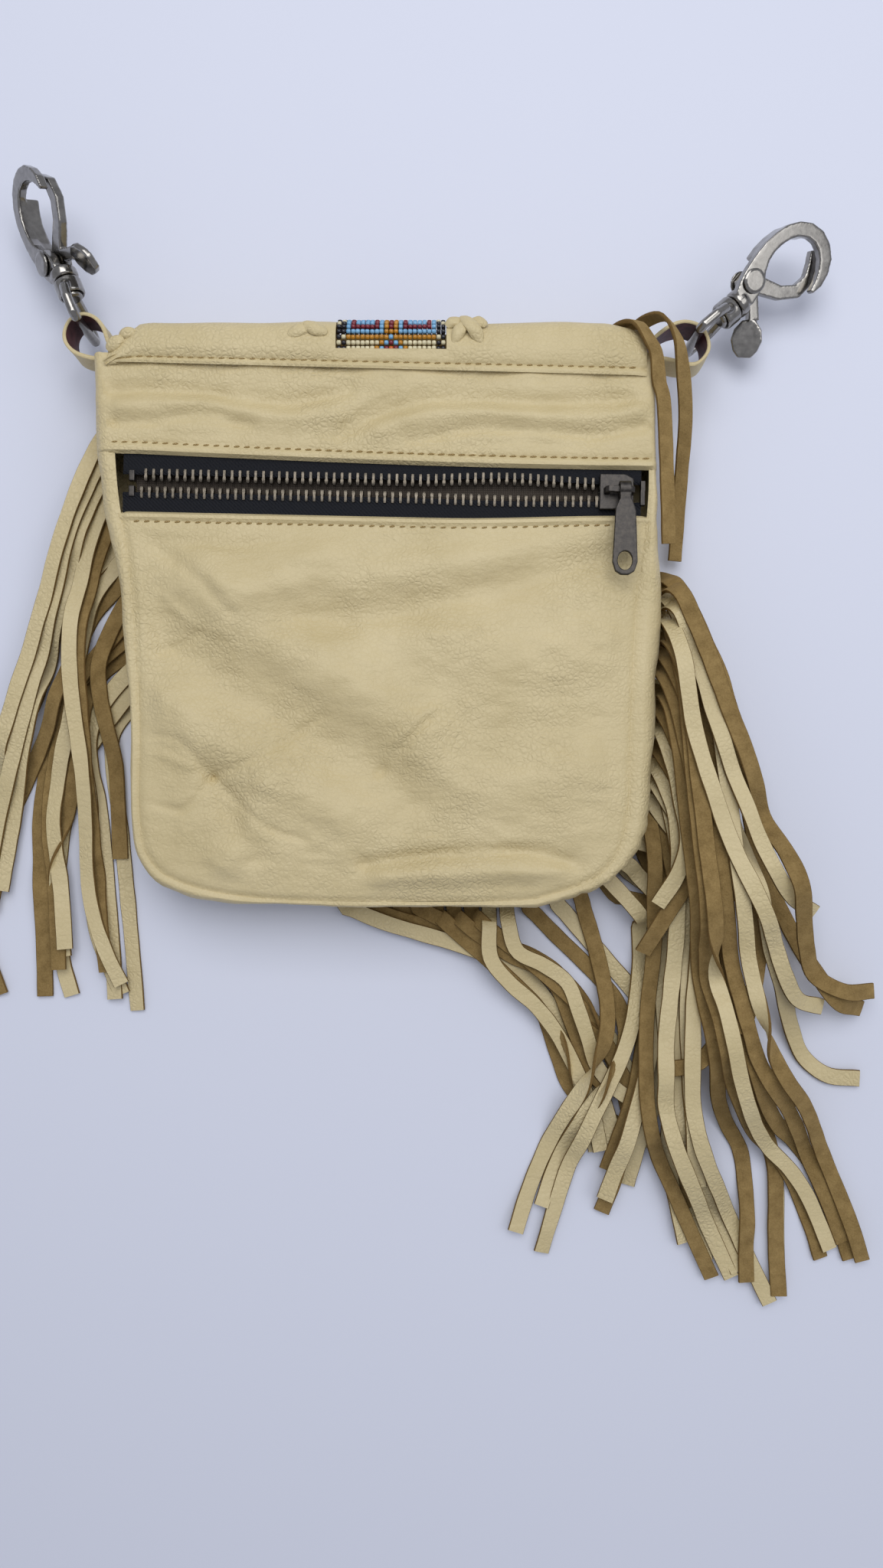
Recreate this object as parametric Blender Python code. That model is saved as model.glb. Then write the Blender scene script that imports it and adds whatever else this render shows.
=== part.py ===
"""Beaded buckskin purse with a zip pocket, long fringe and two swivel snaps, lying on its flap.

Lengths are millimetres, and MM turns them into Blender's metres where a mesh or an object is made.
X runs along the top edge, Y towards the top edge, and Z is up, out of the zip side.
The origin is the middle of the flap's flat underside.
"""

import math
import random

import bmesh
import bpy
import numpy as np
from mathutils import Matrix, Vector

MM = 0.001

# Bag
bag_width = 203.0
bag_height = 223.0
leather = 1.6
seam_gap = 0.3
fringe_room = 5.4
bag_depth = 26.0
gusset_overlap = 1.5
gusset_crown = 0.55
bottom_share = 0.979
hidden_edge = 5.5

# Flap and its bead window
flap_inset = 3.5
flap_corner = 45.0
flap_end = -92.0
flap_start = 93.0
bead_width = 42.0
bead_centre = 2.3
bead_clearance = 0.3
window_rows = (2, 15)

# Zip, along its own line across the back
zip_centre = (0.5, 48.6)
zip_tilt = math.radians(-1.2)
zip_window = 20.0
tape_width = 11.0
tape_thickness = 0.8
tooth_pitch = 3.0
tooth_length = 4.15
tooth_thickness = 2.4
tooth_share = 0.55
row_gap = 1.9
row_end_room = 6.5
slider_length = 12.8
slider_width = 13.4
slider_plate = 1.4
slider_clearance = 0.4
pull_length = 33.0
pull_thickness = 1.8

# Fringe
strand_width = 6.8
strand_thickness = 1.3
strand_pitch = 7.2
strand_step = 13.0
first_step = 6.0
strand_clearance = 0.12
wide_room = 0.75
narrow_room = 0.5
band_width = 6.0
cell = 1.25
most_slope = 0.6

# Snaps
bar_radius = 2.0
yoke_half_width = 13.0
collar_radius = 5.4
post_radius = 2.6
barrel_radius = 5.4
jaw_thickness = 3.5
jaw_gap = 0.9
rivet_at = (30.5, 4.0)
rivet_radius = 2.2
running_clearance = 0.3
loop_width = 14.0

# Laces
lace_width = 5.8
knot_level = 34.8

# Levels, from the floor up
flap_level = leather / 2
band_level = leather + seam_gap + strand_thickness / 2
front_level = leather + fringe_room + leather / 2
seam_band_level = front_level + leather / 2 + seam_gap + strand_thickness / 2
gusset_low = seam_band_level + strand_thickness / 2 + seam_gap + leather / 2
back_top = leather + fringe_room + bag_depth
back_level = back_top - leather / 2
tape_level = back_level - leather / 2 - seam_gap - tape_thickness / 2
gusset_high = tape_level - tape_thickness / 2 - seam_gap - leather / 2
band_top_level = back_top + seam_gap + leather / 2
loop_level = (gusset_low + gusset_high) / 2

half_width = bag_width / 2
flap_half_width = half_width - flap_inset
row_half_length = half_width - row_end_room
half_height = bag_height / 2


def clear_scene():
    for obj in list(bpy.data.objects):
        bpy.data.objects.remove(obj)


def material(name, colour, roughness, metallic=0.0):
    made = bpy.data.materials.new(name)
    made.use_nodes = True
    shader = made.node_tree.nodes["Principled BSDF"]
    shader.inputs["Base Color"].default_value = (*colour, 1.0)
    shader.inputs["Roughness"].default_value = roughness
    shader.inputs["Metallic"].default_value = metallic
    return made


FINISHES = {
    "buckskin": ((0.66, 0.56, 0.33), 0.62, 0.0),
    "suede": ((0.38, 0.24, 0.10), 0.92, 0.0),
    "lining": ((0.10, 0.03, 0.03), 0.8, 0.0),
    "tape": ((0.012, 0.015, 0.022), 0.85, 0.0),
    "gunmetal": ((0.22, 0.20, 0.18), 0.35, 1.0),
    "nickel": ((0.62, 0.61, 0.59), 0.22, 1.0),
    "beads": ((0.62, 0.58, 0.45), 0.25, 0.0),
}


def add(name, points, faces, finish, place=None):
    """One object from points in millimetres, in the frame that place gives."""
    mesh = bpy.data.meshes.new(name)
    mesh.from_pydata([Vector(p) * MM for p in points], [], faces)
    bm = bmesh.new()
    bm.from_mesh(mesh)
    bmesh.ops.recalc_face_normals(bm, faces=bm.faces)
    bm.to_mesh(mesh)
    bm.free()
    mesh.shade_smooth()
    mesh.set_sharp_from_angle(angle=math.radians(35))
    obj = bpy.data.objects.new(name, mesh)
    bpy.context.scene.collection.objects.link(obj)
    obj.data.materials.append(material(name, *FINISHES[finish]))
    if place is not None:
        obj.matrix_world = place
    return obj


def frame(origin, along, up):
    """A frame with its X along the first direction and its Z as near as it can be to the second."""
    x = Vector(along).normalized()
    y = Vector(up).cross(x).normalized()
    z = x.cross(y)
    turned = Matrix((x, y, z)).transposed().to_4x4()
    turned.translation = Vector(origin) * MM
    return turned


def combine(obj, other, operation):
    """A Boolean with a hidden helper."""
    other.hide_render = True
    other.display_type = "WIRE"
    modifier = obj.modifiers.new(other.name, "BOOLEAN")
    modifier.operation = operation
    modifier.object = other
    return obj


def smooth_path(points, step):
    """Points at about equal steps along a Catmull-Rom curve through the given ones."""
    pts = [np.array(p, float) for p in points]
    pts = [2 * pts[0] - pts[1]] + pts + [2 * pts[-1] - pts[-2]]
    dense = []
    for a, b, c, d in zip(pts, pts[1:], pts[2:], pts[3:]):
        for t in np.linspace(0, 1, 16, endpoint=False):
            dense.append(
                0.5 * (2 * b + (c - a) * t + (2 * a - 5 * b + 4 * c - d) * t**2 + (3 * b - a - 3 * c + d) * t**3)
            )
    dense.append(pts[-2])
    dense = np.array(dense)
    run = np.concatenate([[0], np.cumsum(np.linalg.norm(np.diff(dense, axis=0), axis=1))])
    count = max(2, round(run[-1] / step) + 1)
    at = np.linspace(0, run[-1], count)
    return np.stack([np.interp(at, run, dense[:, k]) for k in range(dense.shape[1])], axis=1)


def prism(name, outline, low, high, finish, place=None):
    n = len(outline)
    points = [(x, y, low) for x, y in outline] + [(x, y, high) for x, y in outline]
    faces = [list(range(n))[::-1], list(range(n, 2 * n))]
    faces += [[i, (i + 1) % n, n + (i + 1) % n, n + i] for i in range(n)]
    return add(name, points, faces, finish, place)


def sheet(name, rows, thickness, finish, missing=()):
    """A leather sheet of the given thickness round a grid of middle points; missing cells are left open."""
    grid = np.array(rows, float)
    down = np.gradient(grid, axis=0)
    across = np.gradient(grid, axis=1)
    normal = np.cross(across, down)
    normal /= np.linalg.norm(normal, axis=2, keepdims=True)
    high, wide = grid.shape[:2]
    points = [*(grid + normal * thickness / 2).reshape(-1, 3), *(grid - normal * thickness / 2).reshape(-1, 3)]
    under = high * wide
    faces = []
    edges = {}
    for i in range(high - 1):
        for j in range(wide - 1):
            if (i, j) in missing:
                continue
            loop = [i * wide + j, i * wide + j + 1, (i + 1) * wide + j + 1, (i + 1) * wide + j]
            faces.append(loop)
            faces.append([k + under for k in reversed(loop)])
            for a, b in zip(loop, loop[1:] + loop[:1]):
                edges[(a, b)] = True
    for a, b in edges:
        if (b, a) not in edges:
            faces.append([b, a, a + under, b + under])
    return add(name, used(points, faces), renumbered(points, faces), finish)


def used(points, faces):
    kept = sorted({k for face in faces for k in face})
    return [points[k] for k in kept]


def renumbered(points, faces):
    kept = sorted({k for face in faces for k in face})
    new = {old: i for i, old in enumerate(kept)}
    return [[new[k] for k in face] for face in faces]


def lathe(name, profile, finish, place=None, sides=20):
    """A turned solid about X; the profile is (along, radius) pairs from one end to the other."""
    points = [(profile[0][0], 0, 0)]
    for along, radius in profile:
        for k in range(sides):
            turn = 2 * math.pi * k / sides
            points.append((along, radius * math.cos(turn), radius * math.sin(turn)))
    points.append((profile[-1][0], 0, 0))
    faces = [[0, 1 + (k + 1) % sides, 1 + k] for k in range(sides)]
    for ring in range(len(profile) - 1):
        start = 1 + ring * sides
        for k in range(sides):
            following = (k + 1) % sides
            faces.append([start + k, start + following, start + sides + following, start + sides + k])
    last = len(points) - 1
    start = 1 + (len(profile) - 1) * sides
    faces += [[last, start + k, start + (k + 1) % sides] for k in range(sides)]
    return add(name, points, faces, finish, place)


def tube(name, path, half_across, half_up, up, finish, closed=False, sides=8, place=None):
    """A rod of oval section along a path; up gives the direction of its second half-size."""
    path = np.array(path, float)
    tangent = np.gradient(path, axis=0)
    if closed:
        tangent = np.roll(path, -1, axis=0) - np.roll(path, 1, axis=0)
    points = []
    for p, t in zip(path, tangent):
        side = np.cross(up, t)
        side /= np.linalg.norm(side)
        top = np.cross(t, side)
        top /= np.linalg.norm(top)
        for k in range(sides):
            turn = 2 * math.pi * (k + 0.5) / sides
            points.append(p + side * half_across * math.cos(turn) + top * half_up * math.sin(turn))
    n = len(path)
    faces = []
    for i in range(n if closed else n - 1):
        for k in range(sides):
            following = (k + 1) % sides
            far = (i + 1) % n
            faces.append([i * sides + k, i * sides + following, far * sides + following, far * sides + k])
    if not closed:
        faces.append(list(range(sides))[::-1])
        faces.append([(n - 1) * sides + k for k in range(sides)])
    return add(name, points, faces, finish, place)


def tapered_outline(path, widths):
    """The outline of a flat bar that follows a path, with its width given at each point."""
    path = np.array(path, float)
    tangent = np.gradient(path, axis=0)
    tangent /= np.linalg.norm(tangent, axis=1, keepdims=True)
    side = np.stack([-tangent[:, 1], tangent[:, 0]], axis=1)
    half = np.array(widths, float)[:, None] / 2
    return [*map(tuple, path + side * half), *map(tuple, (path - side * half)[::-1])]


# The bag's seam from the top left corner round to the top right one, as shares of the half width and
# half height, with how far the gusset bulges past it
SEAM = (
    (-1.06, 0.88, 4.0),
    (-1.025, 0.63, 8.0),
    (-1.0, 0.36, 8.0),
    (-0.955, 0.09, 6.0),
    (-0.93, -0.36, 5.0),
    (-0.93, -0.70, 5.0),
    (-0.87, -0.86, 5.5),
    (-0.69, -0.94, 5.0),
    (-0.39, -0.973, 3.0),
    (0.0, -0.985, 2.5),
    (0.39, -0.983, 3.0),
    (0.65, -0.95, 5.0),
    (0.83, -0.87, 7.0),
    (0.91, -0.72, 9.5),
    (0.925, -0.45, 10.5),
    (0.945, 0.0, 10.5),
    (0.97, 0.22, 9.0),
    (0.99, 0.42, 4.0),
    (0.99, 0.67, 3.0),
    (0.995, 0.88, 2.5),
)


def seam_points():
    return smooth_path([(x * half_width, y * half_height, bulge) for x, y, bulge in SEAM], 16.0)


def seam_limits(y):
    """The left and right ends of the row across the panel at this height."""
    dense = smooth_path([(a * half_width, b * half_height, c) for a, b, c in SEAM], 3.0)
    lowest = int(np.argmin(dense[:, 1]))
    left = dense[: lowest + 1][::-1]
    right = dense[lowest:]
    return np.interp(y, left[:, 1], left[:, 0]), np.interp(y, right[:, 1], right[:, 0])


def outward_normals(points):
    tangent = np.gradient(points[:, :2], axis=0)
    tangent /= np.linalg.norm(tangent, axis=1, keepdims=True)
    return np.stack([tangent[:, 1] * -1, tangent[:, 0]], axis=1) * -1


def gusset():
    points = seam_points()
    normals = outward_normals(points)
    middle = (gusset_low + gusset_high) / 2
    half = (gusset_high - gusset_low) / 2
    rows = []
    for point, normal in zip(points, normals):
        row = []
        for turn in np.linspace(-math.pi / 2, math.pi / 2, 8):
            reach = (point[2] - leather / 2 + gusset_overlap) * max(math.cos(turn), 0.0) ** gusset_crown
            place = point[:2] + normal * (reach - gusset_overlap)
            row.append((*place, middle + half * math.sin(turn)))
        rows.append(row)
    sheet("gusset", rows, leather, "buckskin")


def panel(low_edge, high_edge, level, columns=7, row_step=16.0):
    """The middle points of a flat hide panel between two lines across the bag, as wide as the seam."""
    rows = []
    steps = max(2, round((high_edge(0.0) - low_edge(0.0)) / row_step) + 1)
    # The rows draw closer towards the round lower corners.
    for share in np.linspace(1, 0, steps) ** 1.7:
        y_middle = low_edge(0.0) + (high_edge(0.0) - low_edge(0.0)) * share
        row = []
        for x in np.linspace(*seam_limits(y_middle), columns):
            low, high = low_edge(x), high_edge(x)
            row.append((x, low + (high - low) * share, level))
        rows.append(row)
    return rows


def zip_line(x, offset=0.0):
    return zip_centre[1] + offset + (x - zip_centre[0]) * math.tan(zip_tilt)


def window_top(x):
    return zip_line(x, zip_window / 2)


def window_bottom(x):
    return zip_line(x, -zip_window / 2)


def seam_bottom(x):
    return -half_height * bottom_share


def hidden_top(x):
    """The panels' upper edge, out of sight inside the flap's fold."""
    return flap_start + hidden_edge


def panels():
    sheet("back_upper_panel", panel(window_top, hidden_top, back_level), leather, "buckskin")
    sheet("back_lower_panel", panel(seam_bottom, window_bottom, back_level, 9), leather, "buckskin")
    sheet("front_panel", panel(seam_bottom, hidden_top, front_level), leather, "buckskin")


# The flap's middle surface from its stitched edge on the back, over the top and down the front
FLAP_FOLD = ((93.0, 1.0), (101.0, 1.0), (106.5, 0.95), (110.0, 0.81), (110.7, 0.58), (110.3, 0.34), (108.0, 0.14))


def flap_profile():
    rise = band_top_level - flap_level
    back = [(y, flap_level + share * rise) for y, share in FLAP_FOLD]
    front = [(103.0, flap_level + 0.7), (96.0, flap_level)]
    fold = smooth_path(back + front, 3.6)
    flat = [(y, flap_level) for y in (84, 72, 61, 50, 35, 15, -5, -25, -47, -62, -75, -84, -90, flap_end)]
    return [tuple(p) for p in fold] + flat


def flap_half(y):
    """Half the flap's width at this height, with round lower corners."""
    below = flap_end + flap_corner - y
    if below <= 0:
        return flap_half_width
    return flap_half_width - flap_corner + math.sqrt(max(flap_corner**2 - below**2, 4.0))


def window_columns():
    left = bead_centre - bead_width / 2
    right = bead_centre + bead_width / 2
    return left, right


def flap():
    left, right = window_columns()
    rows = []
    for y, z in flap_profile():
        half = flap_half(y)
        inner_left = max(left, -half * 0.4)
        inner_right = min(right, half * 0.4)
        row = [-half, (inner_left - half) / 2, inner_left, bead_centre, inner_right, (inner_right + half) / 2, half]
        rows.append([(x, y, z) for x in row])
    missing = {(i, j) for i in range(*window_rows) for j in (2, 3)}
    sheet("flap", rows, leather, "buckskin", missing)


def bead_strip():
    left, right = window_columns()
    profile = np.array(flap_profile()[window_rows[0] : window_rows[1] + 1])
    run = np.concatenate([[0], np.cumsum(np.linalg.norm(np.diff(profile, axis=0), axis=1))])
    at = np.linspace(bead_clearance, run[-1] - bead_clearance, len(profile))
    at[1:-1] = run[1:-1]
    across = np.linspace(left + bead_clearance, right - bead_clearance, 4)
    rows = [[(x, np.interp(s, run, profile[:, 0]), np.interp(s, run, profile[:, 1])) for x in across] for s in at]
    sheet("bead_strip", rows, leather, "beads")


def pocket_lining():
    """A cloth pocket hung from the upper tape, dipping under the slider and lying behind the lower panel."""
    under_tape = tape_level - tape_thickness / 2 - seam_gap - tape_thickness / 2
    under_panel = back_level - leather / 2 - seam_gap - tape_thickness / 2 - 0.3
    dip = slider_floor() - slider_clearance - tape_thickness / 2
    shape = (
        (14.5, under_tape),
        (11.0, under_tape),
        (7.6, dip),
        (-7.6, dip),
        (-11.5, under_tape),
        (-17.5, under_tape),
        (-22.0, under_panel),
        (-70.0, under_panel),
        (-118.0, under_panel),
    )
    rows = []
    for offset, level in shape:
        left, right = seam_limits(zip_centre[1] + offset)
        xs = np.linspace(left + 9.0, right - 9.0, 6)
        rows.append([(x, zip_line(x, offset), level) for x in xs])
    sheet("pocket_lining", rows, tape_thickness, "lining")


def zip_frame():
    direction = (math.cos(zip_tilt), math.sin(zip_tilt), 0)
    return frame((*zip_centre, tape_level), direction, (0, 0, 1))


def slider_floor():
    """The underside of the slider's lower plate."""
    return tape_level - tooth_thickness / 2 - slider_clearance - slider_plate


def zip_rows():
    place = zip_frame()
    inner = row_gap / 2
    root = inner + tooth_length
    tape_edge = root + seam_gap
    for name, side in (("upper", 1), ("lower", -1)):
        ends = (-row_half_length - 1.5, row_half_length + 1.5)
        edge = [side * tape_edge, side * (tape_edge + tape_width)]
        outline = [(ends[0], edge[0]), (ends[1], edge[0]), (ends[1], edge[1]), (ends[0], edge[1])]
        prism(f"zip_tape_{name}", outline, -tape_thickness / 2, tape_thickness / 2, "tape", place)
        comb = []
        count = int(2 * row_half_length / tooth_pitch)
        # The two rows' teeth stand half a pitch apart, as they do before they mesh.
        first = -count * tooth_pitch / 2 + (tooth_pitch / 2 if side > 0 else 0)
        spine = root - 1.0
        for k in range(count):
            x = first + k * tooth_pitch
            wide = tooth_pitch * tooth_share
            comb += [(x, side * spine), (x, side * inner), (x + wide, side * inner), (x + wide, side * spine)]
        comb += [(comb[-1][0], side * root), (comb[0][0], side * root)]
        prism(f"zip_teeth_{name}", comb, -tooth_thickness / 2, tooth_thickness / 2, "gunmetal", place)
        stop = -row_half_length - tooth_pitch / 2
        box = [(stop - 2.2, side * inner), (stop, side * inner), (stop, side * root), (stop - 2.2, side * root)]
        prism(f"zip_stop_{name}", box, -tooth_thickness / 2, tooth_thickness / 2, "gunmetal", place)
    end = row_half_length + tooth_pitch / 2 + 0.4
    half = root - 0.4
    box = [(end, -half), (end + 1.8, -half), (end + 1.8, half), (end, half)]
    prism("zip_bottom_stop", box, -tape_thickness / 2, tooth_thickness / 2 + 0.5, "gunmetal", place)


def zip_slider():
    """Two plates joined by the post between the rows, with flanges outside the teeth and a bridge on top."""
    place = zip_frame()
    inner = row_gap / 2
    root = inner + tooth_length
    right = row_half_length - 1.0
    left = right - slider_length
    half = slider_width / 2
    plate_low = tooth_thickness / 2 + slider_clearance
    plate_high = plate_low + slider_plate
    narrow = half - 1.6
    outline = [(left, -half), (right - 3, -half), (right, -narrow), (right, narrow), (right - 3, half), (left, half)]
    slider = prism("zip_slider", outline, plate_low, plate_high, "gunmetal", place)
    slot = tape_thickness / 2 + slider_clearance
    pieces = [prism("slider_floor_cutter", outline, -plate_high, -plate_low, "gunmetal", place)]
    post = [(left + 0.5, -0.55), (left + 2.6, -0.55), (left + 2.6, 0.55), (left + 0.5, 0.55)]
    pieces.append(prism("slider_post_helper", post, -plate_low - 0.5, plate_low + 0.5, "gunmetal", place))
    flange_in = root + slider_clearance
    for side in (1, -1):
        flange = [
            (left, side * flange_in),
            (right - 3.2, side * flange_in),
            (right - 3.2, side * (half - 0.1)),
            (left, side * (half - 0.1)),
        ]
        name = "upper" if side > 0 else "lower"
        pieces.append(prism(f"flange_top_{name}", flange, slot, plate_low + 0.5, "gunmetal", place))
        pieces.append(prism(f"flange_floor_{name}", flange, -plate_low - 0.5, -slot, "gunmetal", place))
    bridge_low = bridge_height() - bridge_bar[1] / 2
    bridge_top = bridge_height() + bridge_bar[1] / 2
    arch = [
        (left + 1.6, plate_high - 0.5),
        (left + 1.6, bridge_top - 1.2),
        (left + 2.8, bridge_top),
        (right - 1.2, bridge_top),
        (right, bridge_top - 1.2),
        (right, plate_high - 0.5),
        (right - 1.4, plate_high - 0.5),
        (right - 1.4, bridge_low),
        (left + 3.4, bridge_low),
        (left + 3.4, plate_high - 0.5),
    ]
    standing = frame((*zip_centre, tape_level), (math.cos(zip_tilt), math.sin(zip_tilt), 0), zip_across())
    flipped = [(x, -z) for x, z in arch]
    pieces.append(prism("bridge_helper", flipped, -bridge_bar[0] / 2, bridge_bar[0] / 2, "gunmetal", standing))
    for piece in pieces:
        combine(slider, piece, "UNION")


bridge_bar = (2.4, 1.6)
knuckle_outer = 3.0
knuckle_inner = 1.85
knuckle_width = 4.4


def zip_across():
    return (-math.sin(zip_tilt), math.cos(zip_tilt), 0)


def bridge_height():
    """The bridge bar's middle above the tape's middle."""
    return tooth_thickness / 2 + slider_clearance + slider_plate + knuckle_outer + seam_gap + 0.2


def zip_pull():
    """A tab with a round-bottomed knuckle on the bridge bar, lying down over the lower panel."""
    at = row_half_length - 1.0 - 1.4 - seam_gap - knuckle_width / 2
    place = zip_frame() @ Matrix.Translation(Vector((at, 0, bridge_height())) * MM)
    rest = back_top + seam_gap + pull_thickness / 2 - tape_level - bridge_height()
    knuckle = frame((0, 0, 0), (0, -1, 0), (1, 0, 0))
    turned = place @ knuckle
    ring = [
        (knuckle_outer * math.cos(2 * math.pi * k / 20), knuckle_outer * math.sin(2 * math.pi * k / 20))
        for k in range(20)
    ]
    pull = prism("zip_pull", ring, -knuckle_width / 2, knuckle_width / 2, "gunmetal", turned)
    # In this frame X runs down the tab, Y is across the tab's thickness and Z along the hinge.
    path = [(1.2, -1.2), (4.5, -1.9), (8.0, rest + 0.9), (14.0, rest + 0.35), (pull_length, rest)]
    side = tapered_outline(path, [2.0, 1.9] + [pull_thickness] * 3)
    blank = prism("pull_blank", side, -4.8, 4.8, "gunmetal", turned)
    plan = [
        (0.5, -2.1),
        (4.0, -2.1),
        (8.0, -3.8),
        (pull_length - 4.8, -4.7),
        (pull_length - 1.4, -3.6),
        (pull_length, -1.4),
        (pull_length, 1.4),
        (pull_length - 1.4, 3.6),
        (pull_length - 4.8, 4.7),
        (8.0, 3.8),
        (4.0, 2.1),
        (0.5, 2.1),
    ]
    upright = place @ frame((0, 0, 0), (0, -1, 0), (0, 0, 1))
    cutter = prism("pull_plan", plan, -8.0, 8.0, "gunmetal", upright)
    combine(blank, cutter, "INTERSECT")
    combine(pull, blank, "UNION")
    hole = [
        (pull_length - 5.4 + 3.6 * math.cos(2 * math.pi * k / 16), 2.8 * math.sin(2 * math.pi * k / 16))
        for k in range(16)
    ]
    combine(pull, prism("pull_hole", hole, -8.0, 8.0, "gunmetal", upright), "DIFFERENCE")
    bore = [
        (knuckle_inner * math.cos(2 * math.pi * k / 16), knuckle_inner * math.sin(2 * math.pi * k / 16))
        for k in range(16)
    ]
    combine(pull, prism("knuckle_bore", bore, -6.0, 6.0, "gunmetal", turned), "DIFFERENCE")


# Fringe guides: how the bunches of strands fall, as offsets from the bag's lower corner on their side
GUIDES = {
    "reach": ((11, 111), (20, 82), (34, 46), (48, 12), (61, -26), (80, -31), (98, -30)),
    "short": ((11, 106), (19, 76), (31, 43), (45, 13), (59, -1), (82, -11)),
    "middle": ((10, 101), (17, 66), (29, 26), (45, -9), (59, -39), (79, -47), (96, -55)),
    "low": ((9, 91), (16, 51), (27, 1), (43, -44), (57, -73), (75, -77), (98, -96)),
    "far_right": ((9, 91), (15, 51), (21, 1), (33, -54), (51, -82), (65, -111), (75, -138), (84, -169)),
    "right_down": ((8, 81), (12, 36), (17, -14), (27, -64), (39, -91), (56, -111), (68, -138), (75, -165)),
    "down": ((7, 61), (11, 31), (17, -19), (25, -64), (30, -82), (41, -103), (42, -138), (43, -179)),
    "inner_down": ((7, 31), (7, -19), (3, -59), (5, -89), (18, -121), (38, -165)),
    "front": ((10, 29), (11, 8), (19, -17), (25, -43), (27, -81)),
    "front_curl": ((16, 29), (25, 8), (38, -13), (39, -29), (32, -49), (29, -60)),
    "left_sweep": ((9, 27), (4, 12), (-7, -3), (-18, -25), (-39, -46), (-55, -70)),
    "left_low": ((15, 1), (14, -21), (-7, -37), (-26, -65)),
    "crossing": ((17, -9), (17, -39), (11, -60), (-10, -68), (-39, -74), (-72, -75)),
    "left_tail": ((-5, -9), (-16, -49), (-35, -92), (-45, -117), (-55, -149)),
    "tail": ((-1, -9), (-6, -54), (-15, -93), (-20, -113), (-25, -131)),
    "fan": ((3, -9), (2, -59), (3, -104), (10, -145)),
    "sweep": ((-57, -24), (-34, -46), (-17, -78), (-10, -110)),
    "curl": ((-62, -20), (-42, -32), (-33, -52), (-24, -74), (-4, -88)),
    "side_a": ((-12, 151), (-17, 115), (-16, 67), (-14, 26), (-8, -30)),
    "side_b": ((-14, 151), (-23, 116), (-35, 71), (-45, 36), (-50, 7)),
    "side_c": ((-13, 141), (-21, 109), (-32, 63), (-42, 6), (-46, -28)),
    "side_d": ((-10, 119), (-16, 81), (-26, 39), (-24, -1), (-22, -42)),
    "side_e": ((-11, 125), (-12, 91), (-7, 51), (-5, -1), (13, -46)),
    "side_f": ((-6, 89), (-12, 56), (-20, 16), (-18, -19), (-11, -41)),
    "side_g": ((-7, 101), (-7, 66), (-3, 26), (1, -14), (5, -57)),
    "side_h": ((-10, 111), (-23, 71), (-45, 21), (-53, -9), (-45, -38), (-35, -60)),
}

# Each strip: the edge it is sewn to, where its first strand is along that edge, which way its strands follow
# one another, and the guides in the order they fall. Strips that run rightwards start from the bag's lower
# middle, and the others are measured from the edge's upper left end.
STRIPS = (
    ("flap_fringe_bottom", "flap", 307.7, -1, "curl sweep sweep curl sweep sweep curl sweep sweep sweep"),
    ("flap_fringe_corner", "flap", 56.0, 1, "left_tail tail left_tail tail fan tail fan fan inner_down fan"),
    ("flap_fringe_right", "flap", 139.0, 1, "inner_down down down right_down low right_down far_right middle"),
    ("seam_fringe_corner", "seam", 86.0, 1, "left_tail tail fan inner_down left_low crossing inner_down left_sweep"),
    ("seam_fringe_right", "seam", 144.5, 1, "left_sweep front down front_curl far_right right_down middle short reach"),
    ("flap_fringe_left", "flap", 119.7, -1, "side_g side_f side_g side_f side_d side_d side_e side_h side_d side_e"),
    ("flap_fringe_top_left", "flap", 46.7, -1, "side_a side_c side_e side_c side_b side_b"),
)
guide_spread = 7.0
LANES = (-2.0, 5.2, 12.4)
outline_lead = 3.2
outline_touch = 1.6
longest_lead = 24.0
cutting_charge = 20.0
strand_tries = 14
side_room = 2.0
fringe_seed = 11


def flap_edge():
    """The flap's edge from its top right corner round to its top left one."""
    corner = [(math.cos(a), math.sin(a)) for a in np.linspace(0, -math.pi / 2, 16)]
    centre_x = flap_half_width - flap_corner
    centre_y = flap_end + flap_corner
    right = [(centre_x + flap_corner * x, centre_y + flap_corner * y) for x, y in corner]
    left = [(-x, y) for x, y in reversed(right)]
    top = flap_start - 4.0
    return np.array([(flap_half_width, top), *right, *left, (-flap_half_width, top)])


def seam_edge():
    dense = smooth_path([(x * half_width, y * half_height, bulge) for x, y, bulge in SEAM], 3.0)
    return dense[::-1]


class Edge:
    """Places along an edge, measured from the middle of its lower run, positive towards the right."""

    def __init__(self, points):
        self.points = points
        steps = np.linalg.norm(np.diff(points[:, :2], axis=0), axis=1)
        self.run = np.concatenate([[0], np.cumsum(steps)])
        low = points[:, 1] < points[:, 1].min() + 30
        self.middle = np.interp(0.0, -points[low][:, 0], self.run[low])
        self.left_end = self.middle - self.run[-1]

    def at(self, along):
        s = self.middle - along
        return np.array([np.interp(s, self.run, self.points[:, k]) for k in range(self.points.shape[1])])

    def outward(self, along):
        ahead = self.at(along + 1.0)[:2] - self.at(along - 1.0)[:2]
        ahead /= np.linalg.norm(ahead)
        return np.array([ahead[1], -ahead[0]])


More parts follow.
